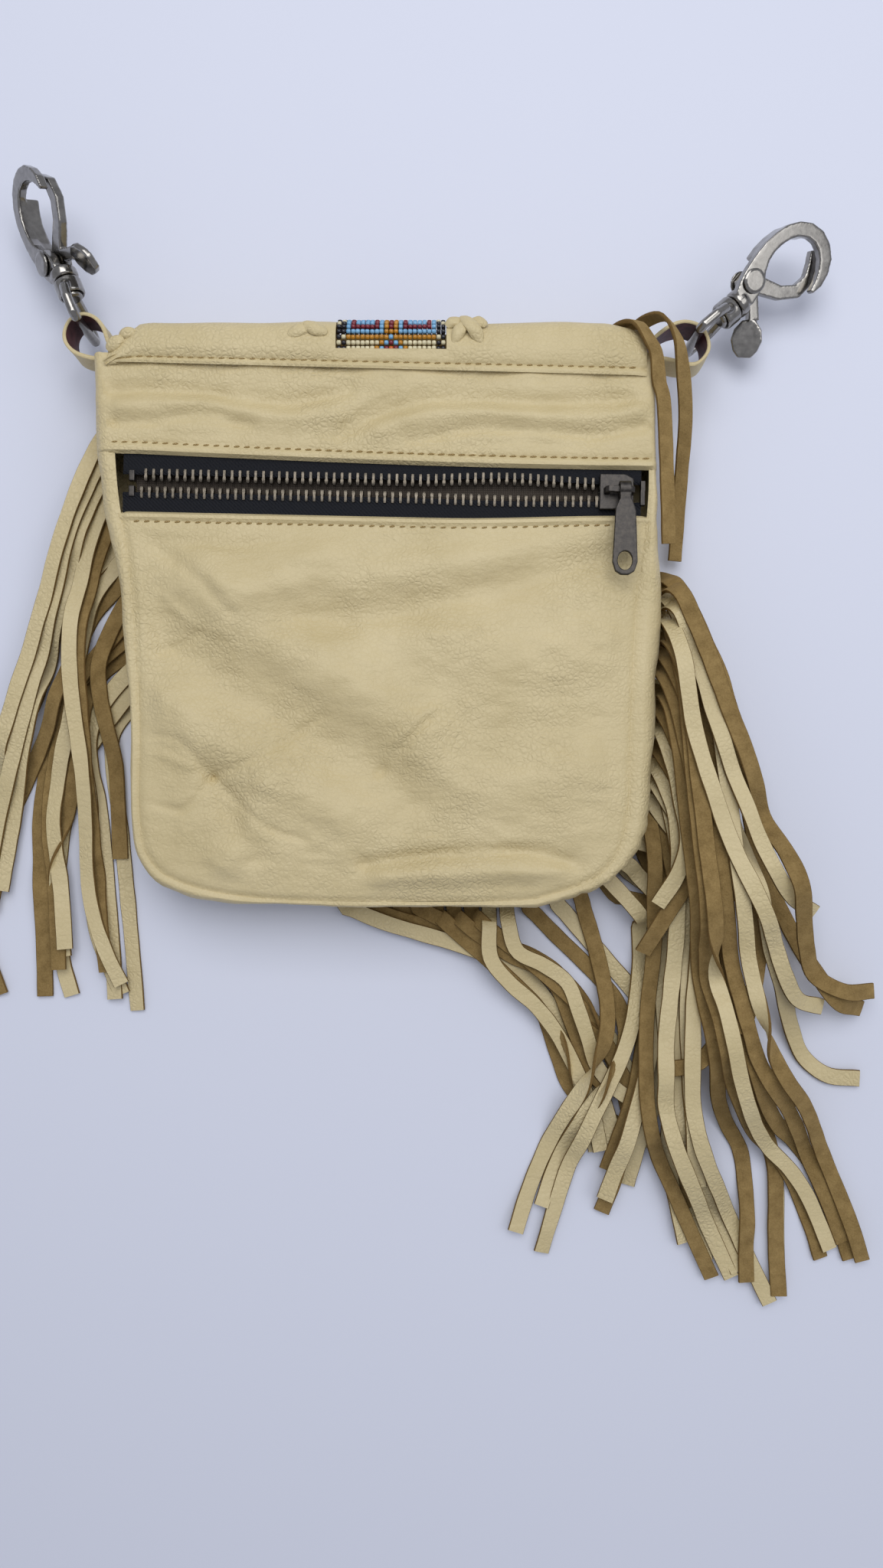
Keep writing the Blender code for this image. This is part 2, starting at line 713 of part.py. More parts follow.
class Heap:
    """The height of what lies on the floor, on grids of cells, for laying one strand over another."""

    def __init__(self, strips):
        self.low = np.array([-half_width - 80.0, -half_height - 200.0])
        size = np.array([bag_width + 200.0, bag_height + 220.0])
        self.shape = tuple((size / cell).astype(int))
        floor = np.full(self.shape, -strand_clearance)
        # Each strip has a wide layer that keeps the other strips off, and a narrow one for its own strands,
        # which may lie edge to edge.
        self.wide = {name: floor.copy() for name in strips}
        self.narrow = {name: floor.copy() for name in strips}
        self.wide["flap"] = floor.copy()
        for i in range(self.shape[0]):
            for j in range(self.shape[1]):
                x, y = self.low + (np.array([i, j]) + 0.5) * cell
                if flap_end < y < flap_start and abs(x) < flap_half(y):
                    self.wide["flap"][i, j] = leather

    def cells(self, a, b, reach):
        """The cells under a straight stretch, and how far along it each one is."""
        low = np.minimum(a, b) - reach
        high = np.maximum(a, b) + reach
        i0, j0 = np.maximum(((low - self.low) / cell).astype(int), 0)
        i1, j1 = np.minimum(((high - self.low) / cell).astype(int) + 1, self.shape)
        i, j = np.meshgrid(np.arange(i0, i1), np.arange(j0, j1), indexing="ij")
        x = self.low[0] + (i + 0.5) * cell - a[0]
        y = self.low[1] + (j + 0.5) * cell - a[1]
        length = max(np.linalg.norm(b - a), 1e-6)
        along = (b - a) / length
        run = x * along[0] + y * along[1]
        off = np.abs(y * along[0] - x * along[1])
        inside = (off < reach) & (run > -cell) & (run < length + cell)
        return i[inside], j[inside], np.clip(run[inside] / length, 0, 1)

    def ground(self, strip, a, b):
        """How high a short stretch of this strip's next strand has to lie."""
        i, j, _ = self.cells(a, b, strand_width / 2 - narrow_room)
        levels = [self.narrow[strip][i, j].max(initial=-strand_clearance)]
        i, j, _ = self.cells(a, b, strand_width / 2 + wide_room)
        levels += [grid[i, j].max(initial=-strand_clearance) for name, grid in self.wide.items() if name != strip]
        return max(levels)

    def lay(self, strip, line):
        for grid, room in ((self.wide[strip], wide_room), (self.narrow[strip], -narrow_room)):
            for a, b in zip(line, line[1:]):
                i, j, share = self.cells(a[:2], b[:2], strand_width / 2 + room)
                level = a[2] + (b[2] - a[2]) * share + strand_thickness / 2
                grid[i, j] = np.maximum(grid[i, j], level)


def strand_plan(root, outward, lead, guide, corner, chance):
    """A strand's way over the floor, from its root to its cut end."""
    start = root + outward * lead
    # Beside the bag the strands run in lanes, so that they lie beside one another before they fan out.
    lane = chance.choice(LANES) * np.sign(corner[0])
    wander = chance.uniform(-1, 1) * guide_spread
    twist = chance.uniform(-1, 1) * guide_spread
    way = []
    for k, offset in enumerate(GUIDES[guide]):
        far = (k + 1) / len(GUIDES[guide])
        place = corner + np.array(offset, float) + np.array([wander * far + lane, twist * far])
        if np.dot(place - start, outward) > 2.0 - lead and place[1] < start[1] - 11.0:
            way.append(place)
    if len(way) < 2:
        way = [start + outward * 14.0 + np.array([0, -22.0]), start + outward * 18.0 + np.array([0, -55.0])]
    return smooth_path([root, start, *way], 2.0)


def fringe():
    """All strands, laid from the corners upwards so that each one rests on what is under it."""
    heap = Heap([name for name, *_ in STRIPS])
    chance = random.Random(fringe_seed)
    edges = {"flap": Edge(flap_edge()), "seam": Edge(seam_edge())}
    seam = seam_edge()
    outline = seam[:, :2] - outward_normals(seam) * seam[:, 2:3]
    roots = []
    for name, edge_name, first, way, guides in STRIPS:
        first += edges[edge_name].left_end if way < 0 else 0.0
        for k, guide in enumerate(guides.split()):
            roots.append((first + way * k * strand_pitch, name, edge_name, guide))
    laid = {name: [] for name, *_ in STRIPS}
    for along, name, edge_name, guide in sorted(roots, key=lambda root: abs(root[0])):
        edge = edges[edge_name]
        root = edge.at(along)[:2]
        outward = edge.outward(along)
        corner = np.array([half_width if along > -100 else -half_width, -half_height])
        lead = way_out(root, outward, outline)
        share = chance.uniform(0.88, 1.0)
        level = band_level if edge_name == "flap" else seam_band_level
        tries = []
        for _ in range(strand_tries):
            plan = strand_plan(root, outward, lead, guide, corner, chance)
            plan = plan[: max(int((lead + 24.0) / 2), int(len(plan) * share))]
            tries.append(settle(heap, name, plan, lead, level))
        best = min(tries, key=lambda tried: strand_cost(*tried, outline))[0]
        heap.lay(name, best)
        laid[name].append((along, best))
    for name, edge_name, _, way, _ in STRIPS:
        level = band_level if edge_name == "flap" else seam_band_level
        strip(name, edges[edge_name], level, laid[name], way)


def strand_cost(line, lack, outline):
    """How high a strand lies, with charges for cutting in and for running in under the bag's bulging side."""
    places = np.concatenate([line[3:, :2], (line[2:-1, :2] + line[3:, :2]) / 2])
    near = np.linalg.norm(places[:, None] - outline[None, :], axis=2).min()
    inside = max(0.0, strand_width / 2 + side_room - near)
    return line[:, 2].mean() + line[:, 2].max() + (inside + lack) * cutting_charge


def way_out(root, outward, outline):
    """How far a strand runs before it is clear of the bag's outline."""
    reach = 0.0
    while np.min(np.linalg.norm(outline - root - outward * reach, axis=1)) > outline_touch and reach < longest_lead:
        reach += 1.0
    return reach + outline_lead


def settle(heap, strip_name, plan, lead, level):
    """A strand's middle line, held level until it is out from under the bag and then resting on the heap.

    The second result is how far its first rise cuts into what is already there.
    """
    stride = np.linalg.norm(plan[1] - plan[0])
    over = strand_thickness / 2
    ground = [heap.ground(strip_name, a, b) for a, b in zip(plan, plan[1:])]
    need = np.maximum(ground + ground[-1:], [ground[0], *ground]) + strand_clearance + over
    run = np.arange(len(plan)) * stride
    free = run > lead + first_step / 2
    rest = np.where(free, need, over)
    hung = (rest[None, :] - most_slope * np.abs(run[:, None] - run[None, :])).max(axis=1)
    count = max(2, round((run[-1] - lead - first_step) / strand_step) + 1)
    at = np.concatenate([[0, lead], np.linspace(lead + first_step, run[-1], count)])
    heights = np.interp(at, run, hung)
    heights[:2] = level
    for i in range(2, len(at) - 1):
        between = (run >= at[i]) & (run <= at[i + 1])
        share = (run[between] - at[i]) / (at[i + 1] - at[i])
        for _ in range(8):
            lack = need[between] - heights[i] - (heights[i + 1] - heights[i]) * share
            worst = int(np.argmax(lack))
            if lack[worst] <= 0.02:
                break
            near, far = 1 - share[worst], share[worst]
            weight = near**2 + far**2
            heights[i] += lack[worst] * near / weight
            heights[i + 1] += lack[worst] * far / weight
    rising = (run > at[1] + 1) & (run < at[2])
    lack = (need - np.interp(run, at, heights))[rising].max(initial=0)
    points = np.stack([np.interp(at, run, plan[:, k]) for k in (0, 1)], axis=1)
    return np.column_stack([points, heights]), lack


def strip(name, edge, level, strands, way):
    """One strip of leather: a sewn band with the strands cut from it."""
    half = strand_thickness / 2
    strands = sorted(strands, key=lambda item: item[0])
    points = []
    faces = []

    def corner_pair(place, height):
        points.append((place[0], place[1], height + half))
        points.append((place[0], place[1], height - half))
        return len(points) - 2

    outer = []
    inner = []
    for along, _ in strands:
        for side in (-1, 1):
            at = along + side * strand_width / 2
            place = edge.at(at)[:2]
            outer.append(corner_pair(place, level))
            inner.append(corner_pair(place - edge.outward(at) * band_width, level))
    for k in range(len(outer) - 1):
        a, b, c, d = outer[k], outer[k + 1], inner[k + 1], inner[k]
        faces += [[a, b, c, d], [a + 1, d + 1, c + 1, b + 1], [d, c, c + 1, d + 1]]
        if k % 2:
            faces.append([b, a, a + 1, b + 1])
    for k in (0, len(outer) - 1):
        faces.append([outer[k], inner[k], inner[k] + 1, outer[k] + 1])
    for number, (_, line) in enumerate(strands):
        right, left = outer[2 * number], outer[2 * number + 1]
        tangent = np.gradient(line[:, :2], axis=0)
        tangent /= np.linalg.norm(tangent, axis=1, keepdims=True)
        for place, ahead in zip(line[1:], tangent[1:]):
            side = np.array([ahead[1], -ahead[0]]) * strand_width / 2
            new_right = corner_pair(place[:2] + side, place[2])
            new_left = corner_pair(place[:2] - side, place[2])
            for a, b, c, d in (
                (right, left, new_left, new_right),
                (left + 1, right + 1, new_right + 1, new_left + 1),
                (left, left + 1, new_left + 1, new_left),
                (right + 1, right, new_right, new_right + 1),
            ):
                faces.append([a, b, c, d])
            right, left = new_right, new_left
        faces.append([right, left, left + 1, right + 1])
    add(name, points, faces, "buckskin" if way < 0 else "suede")


# The loops' middle lines in plan, from the seam round the snap's bar and back to the seam
LOOPS = {
    "left": (
        (-104.9, 88),
        (-104.9, 99),
        (-108, 107),
        (-111, 114.5),
        (-116.5, 118),
        (-122.5, 115.5),
        (-124.8, 109),
        (-121.5, 102.5),
        (-115, 100.5),
        (-110.5, 100.3),
        (-107.6, 98.8),
        (-106.9, 95),
        (-106.9, 88),
    ),
    "right": (
        (97.1, 88),
        (97.1, 99),
        (102.5, 107),
        (110, 113),
        (117, 114.5),
        (123.5, 111),
        (125, 104),
        (120.5, 98),
        (112, 99.5),
        (104.5, 100.4),
        (100.5, 99.4),
        (99.1, 95),
        (99, 88),
    ),
}

# Where each snap's bar stands, which way the snap points, and how far its hook has swivelled
SNAPS = {
    "left": ((-118.3, 114.0), 112.0, -50.0),
    "right": ((120.3, 109.6), 40.0, 25.0),
}


def loops():
    for side, path in LOOPS.items():
        line = smooth_path(path, 4.0)
        ends = (loop_level - loop_width / 2, loop_level + loop_width / 2)
        sheet(f"{side}_loop", [[(x, y, z) for z in ends] for x, y in line], leather, "buckskin")


def ring_outline(radius, sides=16):
    return [
        (radius * math.cos(2 * math.pi * k / sides), radius * math.sin(2 * math.pi * k / sides))
        for k in range(sides)
    ]


def snap_eye(side, place):
    """A stirrup round the loop with a collar that the hook's post turns in."""
    half = yoke_half_width
    bar = [(0, -half + 2), (0, 4 - half), (0, half - 4), (0, half - 2)]
    arch = [(1.5, half), (8, half), (13, half - 2.5), (16.5, half - 7), (17.5, 0)]
    back = [(u, -w) for u, w in reversed(arch[:-1])]
    path = [(u, 0, w) for u, w in bar + arch + back]
    eye = tube(f"{side}_eye", path, bar_radius, bar_radius, (0, 1, 0), "nickel", closed=True, place=place)
    collar = [(14.0, 4.8), (14.8, collar_radius), (20.0, collar_radius), (20.6, 4.8)]
    combine(eye, lathe(f"{side}_collar_helper", collar, "nickel", place), "UNION")
    bore = post_radius + running_clearance + 0.05
    cutter = [(6.0, 4.3), (15.6, 4.3), (15.6, bore), (24.0, bore)]
    combine(eye, lathe(f"{side}_collar_bore", cutter, "nickel", place), "DIFFERENCE")


def snap_hook(side, place):
    """A post with a ball head inside the collar, a barrel, and the fixed jaw riveted to the gate."""
    profile = [
        (12.7, 3.0),
        (13.2, 3.9),
        (15.2, 3.9),
        (15.2, post_radius),
        (20.95, post_radius),
        (20.95, 4.6),
        (21.6, barrel_radius),
        (24.4, barrel_radius),
        (25.2, 4.4),
    ]
    hook = lathe(f"{side}_hook", profile, "nickel", place)
    jaw_path = [
        (24, 0.8),
        (30.5, 4),
        (37, 8),
        (44, 10),
        (53, 9.5),
        (59.5, 5.5),
        (62.3, -1),
        (60.5, -8),
        (55, -13),
        (49.5, -14.5),
    ]
    jaw_widths = [8.4, 10, 6.5, 5.2, 5.2, 5.4, 5.6, 5.4, 4, 1.6]
    centre = smooth_path([(u, v, w) for (u, v), w in zip(jaw_path, jaw_widths)], 4.5)
    jaw = tapered_outline(centre[:, :2], centre[:, 2])
    top = jaw_gap + jaw_thickness
    combine(hook, prism(f"{side}_jaw_helper", jaw, jaw_gap, top, "nickel", place), "UNION")
    limb = smooth_path([(37, 8.3), (44, 10), (53, 9.5), (59.5, 5.5)], 4.5)
    limb = tapered_outline(limb, [5.0] * len(limb))
    combine(hook, prism(f"{side}_limb_helper", limb, -top, top - 0.05, "nickel", place), "UNION")
    hole = [(x + rivet_at[0], y + rivet_at[1]) for x, y in ring_outline(rivet_radius + running_clearance)]
    combine(hook, prism(f"{side}_jaw_hole", hole, -1.0, 8.0, "nickel", place), "DIFFERENCE")


def snap_gate(side, place):
    """The sprung jaw, with its neck and thumb tongue; its origin is on the rivet."""
    low = -jaw_gap - jaw_thickness
    path = [(-3.4, 1.2), (0, 0), (5, -5), (10.5, -12), (17, -16), (23.5, -15.5), (28, -11.5), (30.5, -7.5)]
    widths = [3, 9.2, 6.5, 5.4, 5.2, 4.8, 4.2, 2.4]
    gate = prism(f"{side}_gate", tapered_outline(path, widths), low, -jaw_gap, "nickel", place)
    neck = tapered_outline([(0, 0), (-0.4, -7), (-4.2, -14)], [8, 4.4, 4.5])
    combine(gate, prism(f"{side}_neck_helper", neck, low + 0.05, -jaw_gap - 0.05, "nickel", place), "UNION")
    along = Vector((-0.65, -0.76, 0)).normalized()
    lean = math.radians(35)
    across = Vector((-along.y, along.x, 0)) * math.cos(lean) + Vector((0, 0, math.sin(lean)))
    blade = place @ frame((-5.2, -12.8, -2.6), along, along.cross(across))
    half = 6.2
    outline = [
        (0, -2.6),
        (3.5, -half + 0.8),
        (7.5, -half),
        (11.5, -half + 1.4),
        (14.0, -2.6),
        (14.0, 2.6),
        (11.5, half - 1.4),
        (7.5, half),
        (3.5, half - 0.8),
        (0, 2.6),
    ]
    combine(gate, prism(f"{side}_tongue_helper", outline, -1.2, 1.2, "nickel", blade), "UNION")
    hole = ring_outline(rivet_radius + running_clearance)
    combine(gate, prism(f"{side}_gate_hole", hole, -9.0, 3.0, "nickel", place), "DIFFERENCE")


def snap_rivet(side, place):
    """A headed rivet through both jaws and the gate's spring between them."""
    top = jaw_gap + jaw_thickness + running_clearance
    head = 2 * rivet_radius + 0.2
    profile = [
        (-top - 1.2, head - 1.0),
        (-top - 0.8, head),
        (-top, head),
        (-top, rivet_radius),
        (top, rivet_radius),
        (top, head),
        (top + 0.8, head),
        (top + 1.2, head - 1.0),
    ]
    lathe(f"{side}_rivet", profile, "nickel", place @ frame((0, 0, 0), (0, 0, 1), (1, 0, 0)), sides=16)
    coil = [(x, y, 0) for x, y in ring_outline(rivet_radius + running_clearance + 1.0, 14)]
    name = f"{side}_gate_spring"
    tube(name, coil, 0.9, 0.55, (0, 0, 1), "gunmetal", closed=True, sides=6, place=place)


def snaps():
    for side, (bar, heading, swivel) in SNAPS.items():
        turn = math.radians(heading)
        upright = frame((*bar, loop_level), (math.cos(turn), math.sin(turn), 0), (0, 0, 1))
        swivelled = upright @ Matrix.Rotation(math.radians(swivel), 4, "X")
        snap_eye(side, upright)
        snap_hook(side, swivelled)
        at_rivet = swivelled @ Matrix.Translation(Vector((*rivet_at, 0)) * MM)
        snap_gate(side, at_rivet)
        snap_rivet(side, at_rivet)


# The two suede laces at the right corner: up over the fold, then down beside the bag
LACES = {
    "inner_lace": (
        (86, 112.6, 9),
        (88, 113.0, 18),
        (92, 113.5, 27),
        (96, 110.5, 34.5),
        (100, 103, 36.9),
        (102.5, 98, 36.5),
        (104, 88, 34.6),
        (106, 79, 34),
        (108, 44, 31),
        (108.8, 28, 29),
    ),
    "outer_lace": (
        (95, 113, 12),
        (97, 113.6, 20),
        (101, 114.5, 28),
        (106, 113, 34),
        (110, 106, 36),
        (112.6, 98, 34),
        (116, 79, 26),
        (117, 60, 15),
        (117, 45, 9),
        (116, 26, 7),
    ),
}


def laces():
    for name, way in LACES.items():
        line = smooth_path(way, 8.0)
        tangent = np.gradient(line, axis=0)
        inside = np.clip(line, (-half_width + 10, -half_height, 15), (half_width - 10, half_height - 12, 25))
        across = np.cross(tangent, line - inside)
        across *= lace_width / 2 / np.linalg.norm(across, axis=1, keepdims=True)
        rows = [[p - a, p + a] for p, a in zip(line, across)]
        sheet(name, rows, strand_thickness, "suede")


# Each lace knot: the middle of its place on the fold, and its crossing strands
KNOTS = {
    "left_knot": ((-29.0, 106.5), (((-7, -2.2), (0, 0.4), (7, 2.2)), ((-6.4, 2.4), (0, -0.4), (6.4, -2.4)))),
    "right_knot": ((31.0, 107.0), (((-7.5, -5), (0, 0), (7.5, 5.5)), ((-7, 5), (0, 0), (7, -5)))),
}


def knots():
    for name, (middle, strands) in KNOTS.items():
        place = frame((*middle, knot_level), (1, 0, 0), (0, 0.42, 0.91))
        pieces = []
        for number, way in enumerate(strands):
            path = smooth_path([(x, y, 0) for x, y in way], 3.0)
            path[:, 2] = 1.2 * np.cos(np.linspace(-1.4, 1.4, len(path))) * (1 - number)
            title = name if number == 0 else f"{name}_helper"
            pieces.append(tube(title, path, 2.2, 1.2, (0, 0, 1), "suede", place=place))
        combine(pieces[0], pieces[1], "UNION")


def main():
    clear_scene()
    flap()
    bead_strip()
    gusset()
    panels()
    pocket_lining()
    zip_rows()
    zip_slider()
    zip_pull()
    fringe()
    loops()
    snaps()
    laces()
    knots()


main()
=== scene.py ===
"""Looks of a beaded buckskin purse: hide panels with soft folds, a metal zip, loomed beads over the fold,
cut fringe and two nickel swivel snaps, built round the packed frame.

Lengths are millimetres in the frame's axes, and MM turns them into Blender's metres.
"""

import math
import random

import bmesh
import bpy
import numpy as np
from mathutils import Matrix, Vector, noise


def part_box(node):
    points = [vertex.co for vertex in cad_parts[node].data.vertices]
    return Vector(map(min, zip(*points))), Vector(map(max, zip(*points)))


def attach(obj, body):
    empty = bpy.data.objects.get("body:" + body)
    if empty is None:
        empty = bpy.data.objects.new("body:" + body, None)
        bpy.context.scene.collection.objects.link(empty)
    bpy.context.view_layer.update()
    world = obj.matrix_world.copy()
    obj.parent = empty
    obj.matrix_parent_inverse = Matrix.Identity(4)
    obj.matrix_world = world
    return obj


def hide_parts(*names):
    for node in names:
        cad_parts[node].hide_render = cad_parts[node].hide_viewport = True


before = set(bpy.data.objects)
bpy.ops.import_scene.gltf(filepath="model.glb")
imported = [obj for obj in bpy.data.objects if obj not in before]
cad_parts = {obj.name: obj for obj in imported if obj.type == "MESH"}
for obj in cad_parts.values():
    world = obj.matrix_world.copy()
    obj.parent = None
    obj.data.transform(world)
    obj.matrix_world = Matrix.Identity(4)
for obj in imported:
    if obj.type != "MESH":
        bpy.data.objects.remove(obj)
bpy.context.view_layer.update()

bl_info = {
    "name": "Beaded buckskin purse",
    "version": (1, 0, 0),
    "blender": (4, 5, 0),
    "location": "View3D > Sidebar > Purse",
    "description": "Dresses the purse's frame in hide, beads, metal and thread",
    "category": "Object",
}

MM = 0.001

# Sizes that the frame was built with
leather = 1.6
strand_width = 6.8
strand_thickness = 1.3
zip_centre = (0.5, 48.6)
zip_tilt = math.radians(-1.2)
zip_window = 20.0
tooth_pitch = 3.0
tooth_inner = 0.95
tooth_root = 5.1
row_half_length = 95.0
bead_centre = 2.3
bead_width = 42.0
flap_half_width = 98.0
flap_corner = 45.0
flap_end = -92.0
window_rows = (2, 15)

# The photograph's camera, straight above the purse
camera_place = (21.4, -64.5, 431.0)
camera_focal_pixels = 1364.0
photo_height = 2048.0


def linear(code):
    """A hex sRGB colour as linear red, green, blue and alpha."""
    parts = [int(code[i : i + 2], 16) / 255 for i in (1, 3, 5)]
    return (*[p / 12.92 if p <= 0.04045 else ((p + 0.055) / 1.055) ** 2.4 for p in parts], 1.0)


def box_mm(node):
    low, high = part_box(node)
    return np.array(low) / MM, np.array(high) / MM


back_top = box_mm("back_lower_panel")[1][2]
front_low = box_mm("front_panel")[0][2]
flap_low_level = box_mm("flap")[0][2] + leather / 2
flap_high_level = box_mm("flap")[1][2] - leather / 2
tape_level = (box_mm("zip_tape_upper")[0][2] + box_mm("zip_tape_upper")[1][2]) / 2


class LeatherSettings(bpy.types.PropertyGroup):
    hide: bpy.props.FloatVectorProperty(
        name="Hide", description="Colour of the smooth grain side", subtype="COLOR", size=4,
        default=linear("#D0C096"),
    )
    # The hide's darker colour: its random patches, and also the painted shade in the lines between the
    # pebbles
    hide_shade: bpy.props.FloatVectorProperty(
        name="Hide shade", description="Colour of the grain's darker patches and creases", subtype="COLOR",
        size=4, default=linear("#B7A678"),
    )
    suede: bpy.props.FloatVectorProperty(
        name="Suede", description="Colour of the split side and the cut edges", subtype="COLOR", size=4,
        default=linear("#9C8355"),
    )
    suede_shade: bpy.props.FloatVectorProperty(
        name="Suede shade", description="Colour of the suede's brushed-down nap", subtype="COLOR", size=4,
        default=linear("#78623B"),
    )
    pebble: bpy.props.FloatProperty(
        name="Pebble", description="Width of one pebble of the hide's grain", unit="LENGTH", default=1.9 * MM
    )
    fold_height: bpy.props.FloatProperty(
        name="Fold height", description="Height of the soft folds, as a share of the real ones", default=1.0
    )


class ZipSettings(bpy.types.PropertyGroup):
    tape: bpy.props.FloatVectorProperty(
        name="Tape", description="Colour of the woven tape", subtype="COLOR", size=4,
        default=linear("#151923"),
    )
    metal: bpy.props.FloatVectorProperty(
        name="Teeth", description="Colour of the plated teeth", subtype="COLOR", size=4,
        default=linear("#8F877B"),
    )
    parting: bpy.props.FloatProperty(
        name="Parting", description="How far the rows bow apart beside the slider", unit="LENGTH",
        default=1.3 * MM,
    )


class BeadSettings(bpy.types.PropertyGroup):
    pitch: bpy.props.FloatProperty(
        name="Bead pitch", description="Distance from bead to bead in the loomed strip", unit="LENGTH",
        default=1.8 * MM,
    )


class FringeSettings(bpy.types.PropertyGroup):
    curl: bpy.props.FloatProperty(
        name="Curl", description="How far a cut end may lift off what it lies on", unit="LENGTH",
        default=3.0 * MM,
    )
    grain_share: bpy.props.FloatProperty(
        name="Grain share", description="Share of the strands that lie with their smooth side up", default=0.4
    )


class StageSettings(bpy.types.PropertyGroup):
    floor: bpy.props.FloatVectorProperty(
        name="Floor", description="Colour of the plain floor", subtype="COLOR", size=4,
        default=linear("#D9DDEC"),
    )


def settings(name):
    return getattr(bpy.context.scene, f"purse_{name}")


def add_node(tree, kind, options=None, inputs=None):
    """A shader node with its options, and each input given as a value or as the socket that feeds it."""
    made = tree.nodes.new(kind)
    for key, value in (options or {}).items():
        setattr(made, key, value)
    for key, value in (inputs or {}).items():
        if isinstance(value, bpy.types.NodeSocket):
            tree.links.new(value, made.inputs[key])
        else:
            made.inputs[key].default_value = value
    return made


def start_material(name, **values):
    """A new material, its node tree, its shader and the object's coordinates in millimetres."""
    made = bpy.data.materials.new(name)
    made.use_nodes = True
    tree = made.node_tree
    shader = tree.nodes["Principled BSDF"]
    for key, value in values.items():
        shader.inputs[key.replace("_", " ")].default_value = value
    place = add_node(tree, "ShaderNodeTexCoord").outputs["Object"]
    scaled = add_node(tree, "ShaderNodeVectorMath", {"operation": "SCALE"}, {0: place, "Scale": 1 / MM})
    return made, tree, shader, scaled.outputs[0]


def blend_colours(tree, factor, first, second):
    mixed = add_node(tree, "ShaderNodeMix", {"data_type": "RGBA"}, {0: factor, 6: first, 7: second})
    return mixed.outputs[2]


def spread(tree, value, low, high):
    """A value stretched so that low becomes 0 and high becomes 1."""
    inputs = {"Value": value, "From Min": low, "From Max": high}
    return add_node(tree, "ShaderNodeMapRange", {"clamp": True}, inputs).outputs[0]


def maths(tree, operation, first, second):
    return add_node(tree, "ShaderNodeMath", {"operation": operation}, {0: first, 1: second}).outputs[0]


def cloud(tree, place, size, detail=2.0, roughness=0.5):
    inputs = {"Vector": place, "Scale": 1 / size, "Detail": detail, "Roughness": roughness}
    return add_node(tree, "ShaderNodeTexNoise", None, inputs)


def warped(tree, place, size, amount):
    """Coordinates pushed about by a soft noise, so that a pattern on them isn't straight."""
    push = cloud(tree, place, size).outputs["Color"]
    moved = add_node(tree, "ShaderNodeVectorMath", {"operation": "SCALE"}, {0: push, "Scale": amount})
    inputs = {0: place, 1: moved.outputs[0]}
    return add_node(tree, "ShaderNodeVectorMath", {"operation": "ADD"}, inputs).outputs[0]


def bump(tree, shader, height, depth, strength=1.0):
    inputs = {"Height": height, "Distance": depth * MM, "Strength": strength}
    made = add_node(tree, "ShaderNodeBump", None, inputs)
    tree.links.new(made.outputs[0], shader.inputs["Normal"])


def smooth_deerskin(name="smooth_deerskin", pebble_depth=0.32):
    """Tanned deerskin, grain side: a soft low sheen over small pebbles, with creases, olive patches and
    painted shade in the lines between the pebbles.
    """
    look = settings("leather")
    made, tree, shader, place = start_material(name, Roughness=0.52, Specular_IOR_Level=0.45)
    bent = warped(tree, place, 5.0, 2.4)
    inputs = {"Vector": bent, "Scale": MM / look.pebble}
    voronoi = add_node(tree, "ShaderNodeTexVoronoi", {"feature": "DISTANCE_TO_EDGE"}, inputs)
    cells = voronoi.outputs["Distance"]
    pebbles = spread(tree, cells, 0.0, 0.32)
    where = spread(tree, cloud(tree, place, 38.0).outputs["Fac"], 0.4, 0.62)
    inputs = {"Vector": bent, "Scale": (0.6, 1.5, 1.0)}
    stretched = add_node(tree, "ShaderNodeMapping", None, inputs).outputs[0]
    creases = cloud(tree, stretched, 7.0, 5.0, 0.62).outputs["Fac"]
    fine = cloud(tree, place, 0.45, 2.0).outputs["Fac"]
    height = maths(tree, "MULTIPLY", pebbles, maths(tree, "ADD", maths(tree, "MULTIPLY", where, 0.6), 0.12))
    height = maths(tree, "ADD", height, maths(tree, "MULTIPLY", creases, 2.1))
    height = maths(tree, "ADD", height, maths(tree, "MULTIPLY", fine, 0.18))
    bump(tree, shader, height, pebble_depth)
    patch = spread(tree, cloud(tree, place, 26.0, 3.0).outputs["Fac"], 0.3, 0.75)
    patches = maths(tree, "MULTIPLY", patch, 0.45)
    colour = blend_colours(tree, patches, tuple(look.hide), tuple(look.hide_shade))
    # Painted shade: the lines between the pebbles, where the grain dips, are darkened towards the hide's
    # darker colour
    pits = maths(tree, "MULTIPLY", spread(tree, cells, 0.1, 0.0), 0.22)
    colour = blend_colours(tree, pits, colour, tuple(look.hide_shade))
    tree.links.new(colour, shader.inputs["Base Color"])
    return made


def brushed_suede(name="brushed_suede"):
    """The split side of the hide: no gloss, a short nap that is darker where brushed down, fuzzy grit."""
    look = settings("leather")
    made, tree, shader, place = start_material(
        name, Roughness=0.95, Specular_IOR_Level=0.15, Sheen_Weight=0.35
    )
    shader.inputs["Sheen Roughness"].default_value = 0.6
    shader.inputs["Sheen Tint"].default_value = linear("#C9AE7C")
    nap = cloud(tree, place, 5.0, 3.0, 0.6).outputs["Fac"]
    grit = cloud(tree, place, 0.7, 3.0, 0.7).outputs["Fac"]
    tone = maths(tree, "ADD", maths(tree, "MULTIPLY", nap, 0.6), maths(tree, "MULTIPLY", grit, 0.5))
    colour = blend_colours(tree, spread(tree, tone, 0.38, 0.75), tuple(look.suede_shade), tuple(look.suede))
    tree.links.new(colour, shader.inputs["Base Color"])
    bump(tree, shader, grit, 0.35)
    return made


def cut_edge():
    """The cut edge of a hide strip: the raw core, darker and rougher than both faces."""
    look = settings("leather")
    made, tree, shader, place = start_material("cut_hide_edge", Roughness=0.95, Specular_IOR_Level=0.1)
    grit = cloud(tree, place, 0.9, 3.0, 0.7).outputs["Fac"]
    colour = blend_colours(tree, spread(tree, grit, 0.3, 0.7), linear("#6B5230"), tuple(look.suede_shade))
    tree.links.new(colour, shader.inputs["Base Color"])
    bump(tree, shader, grit, 0.25)
    return made


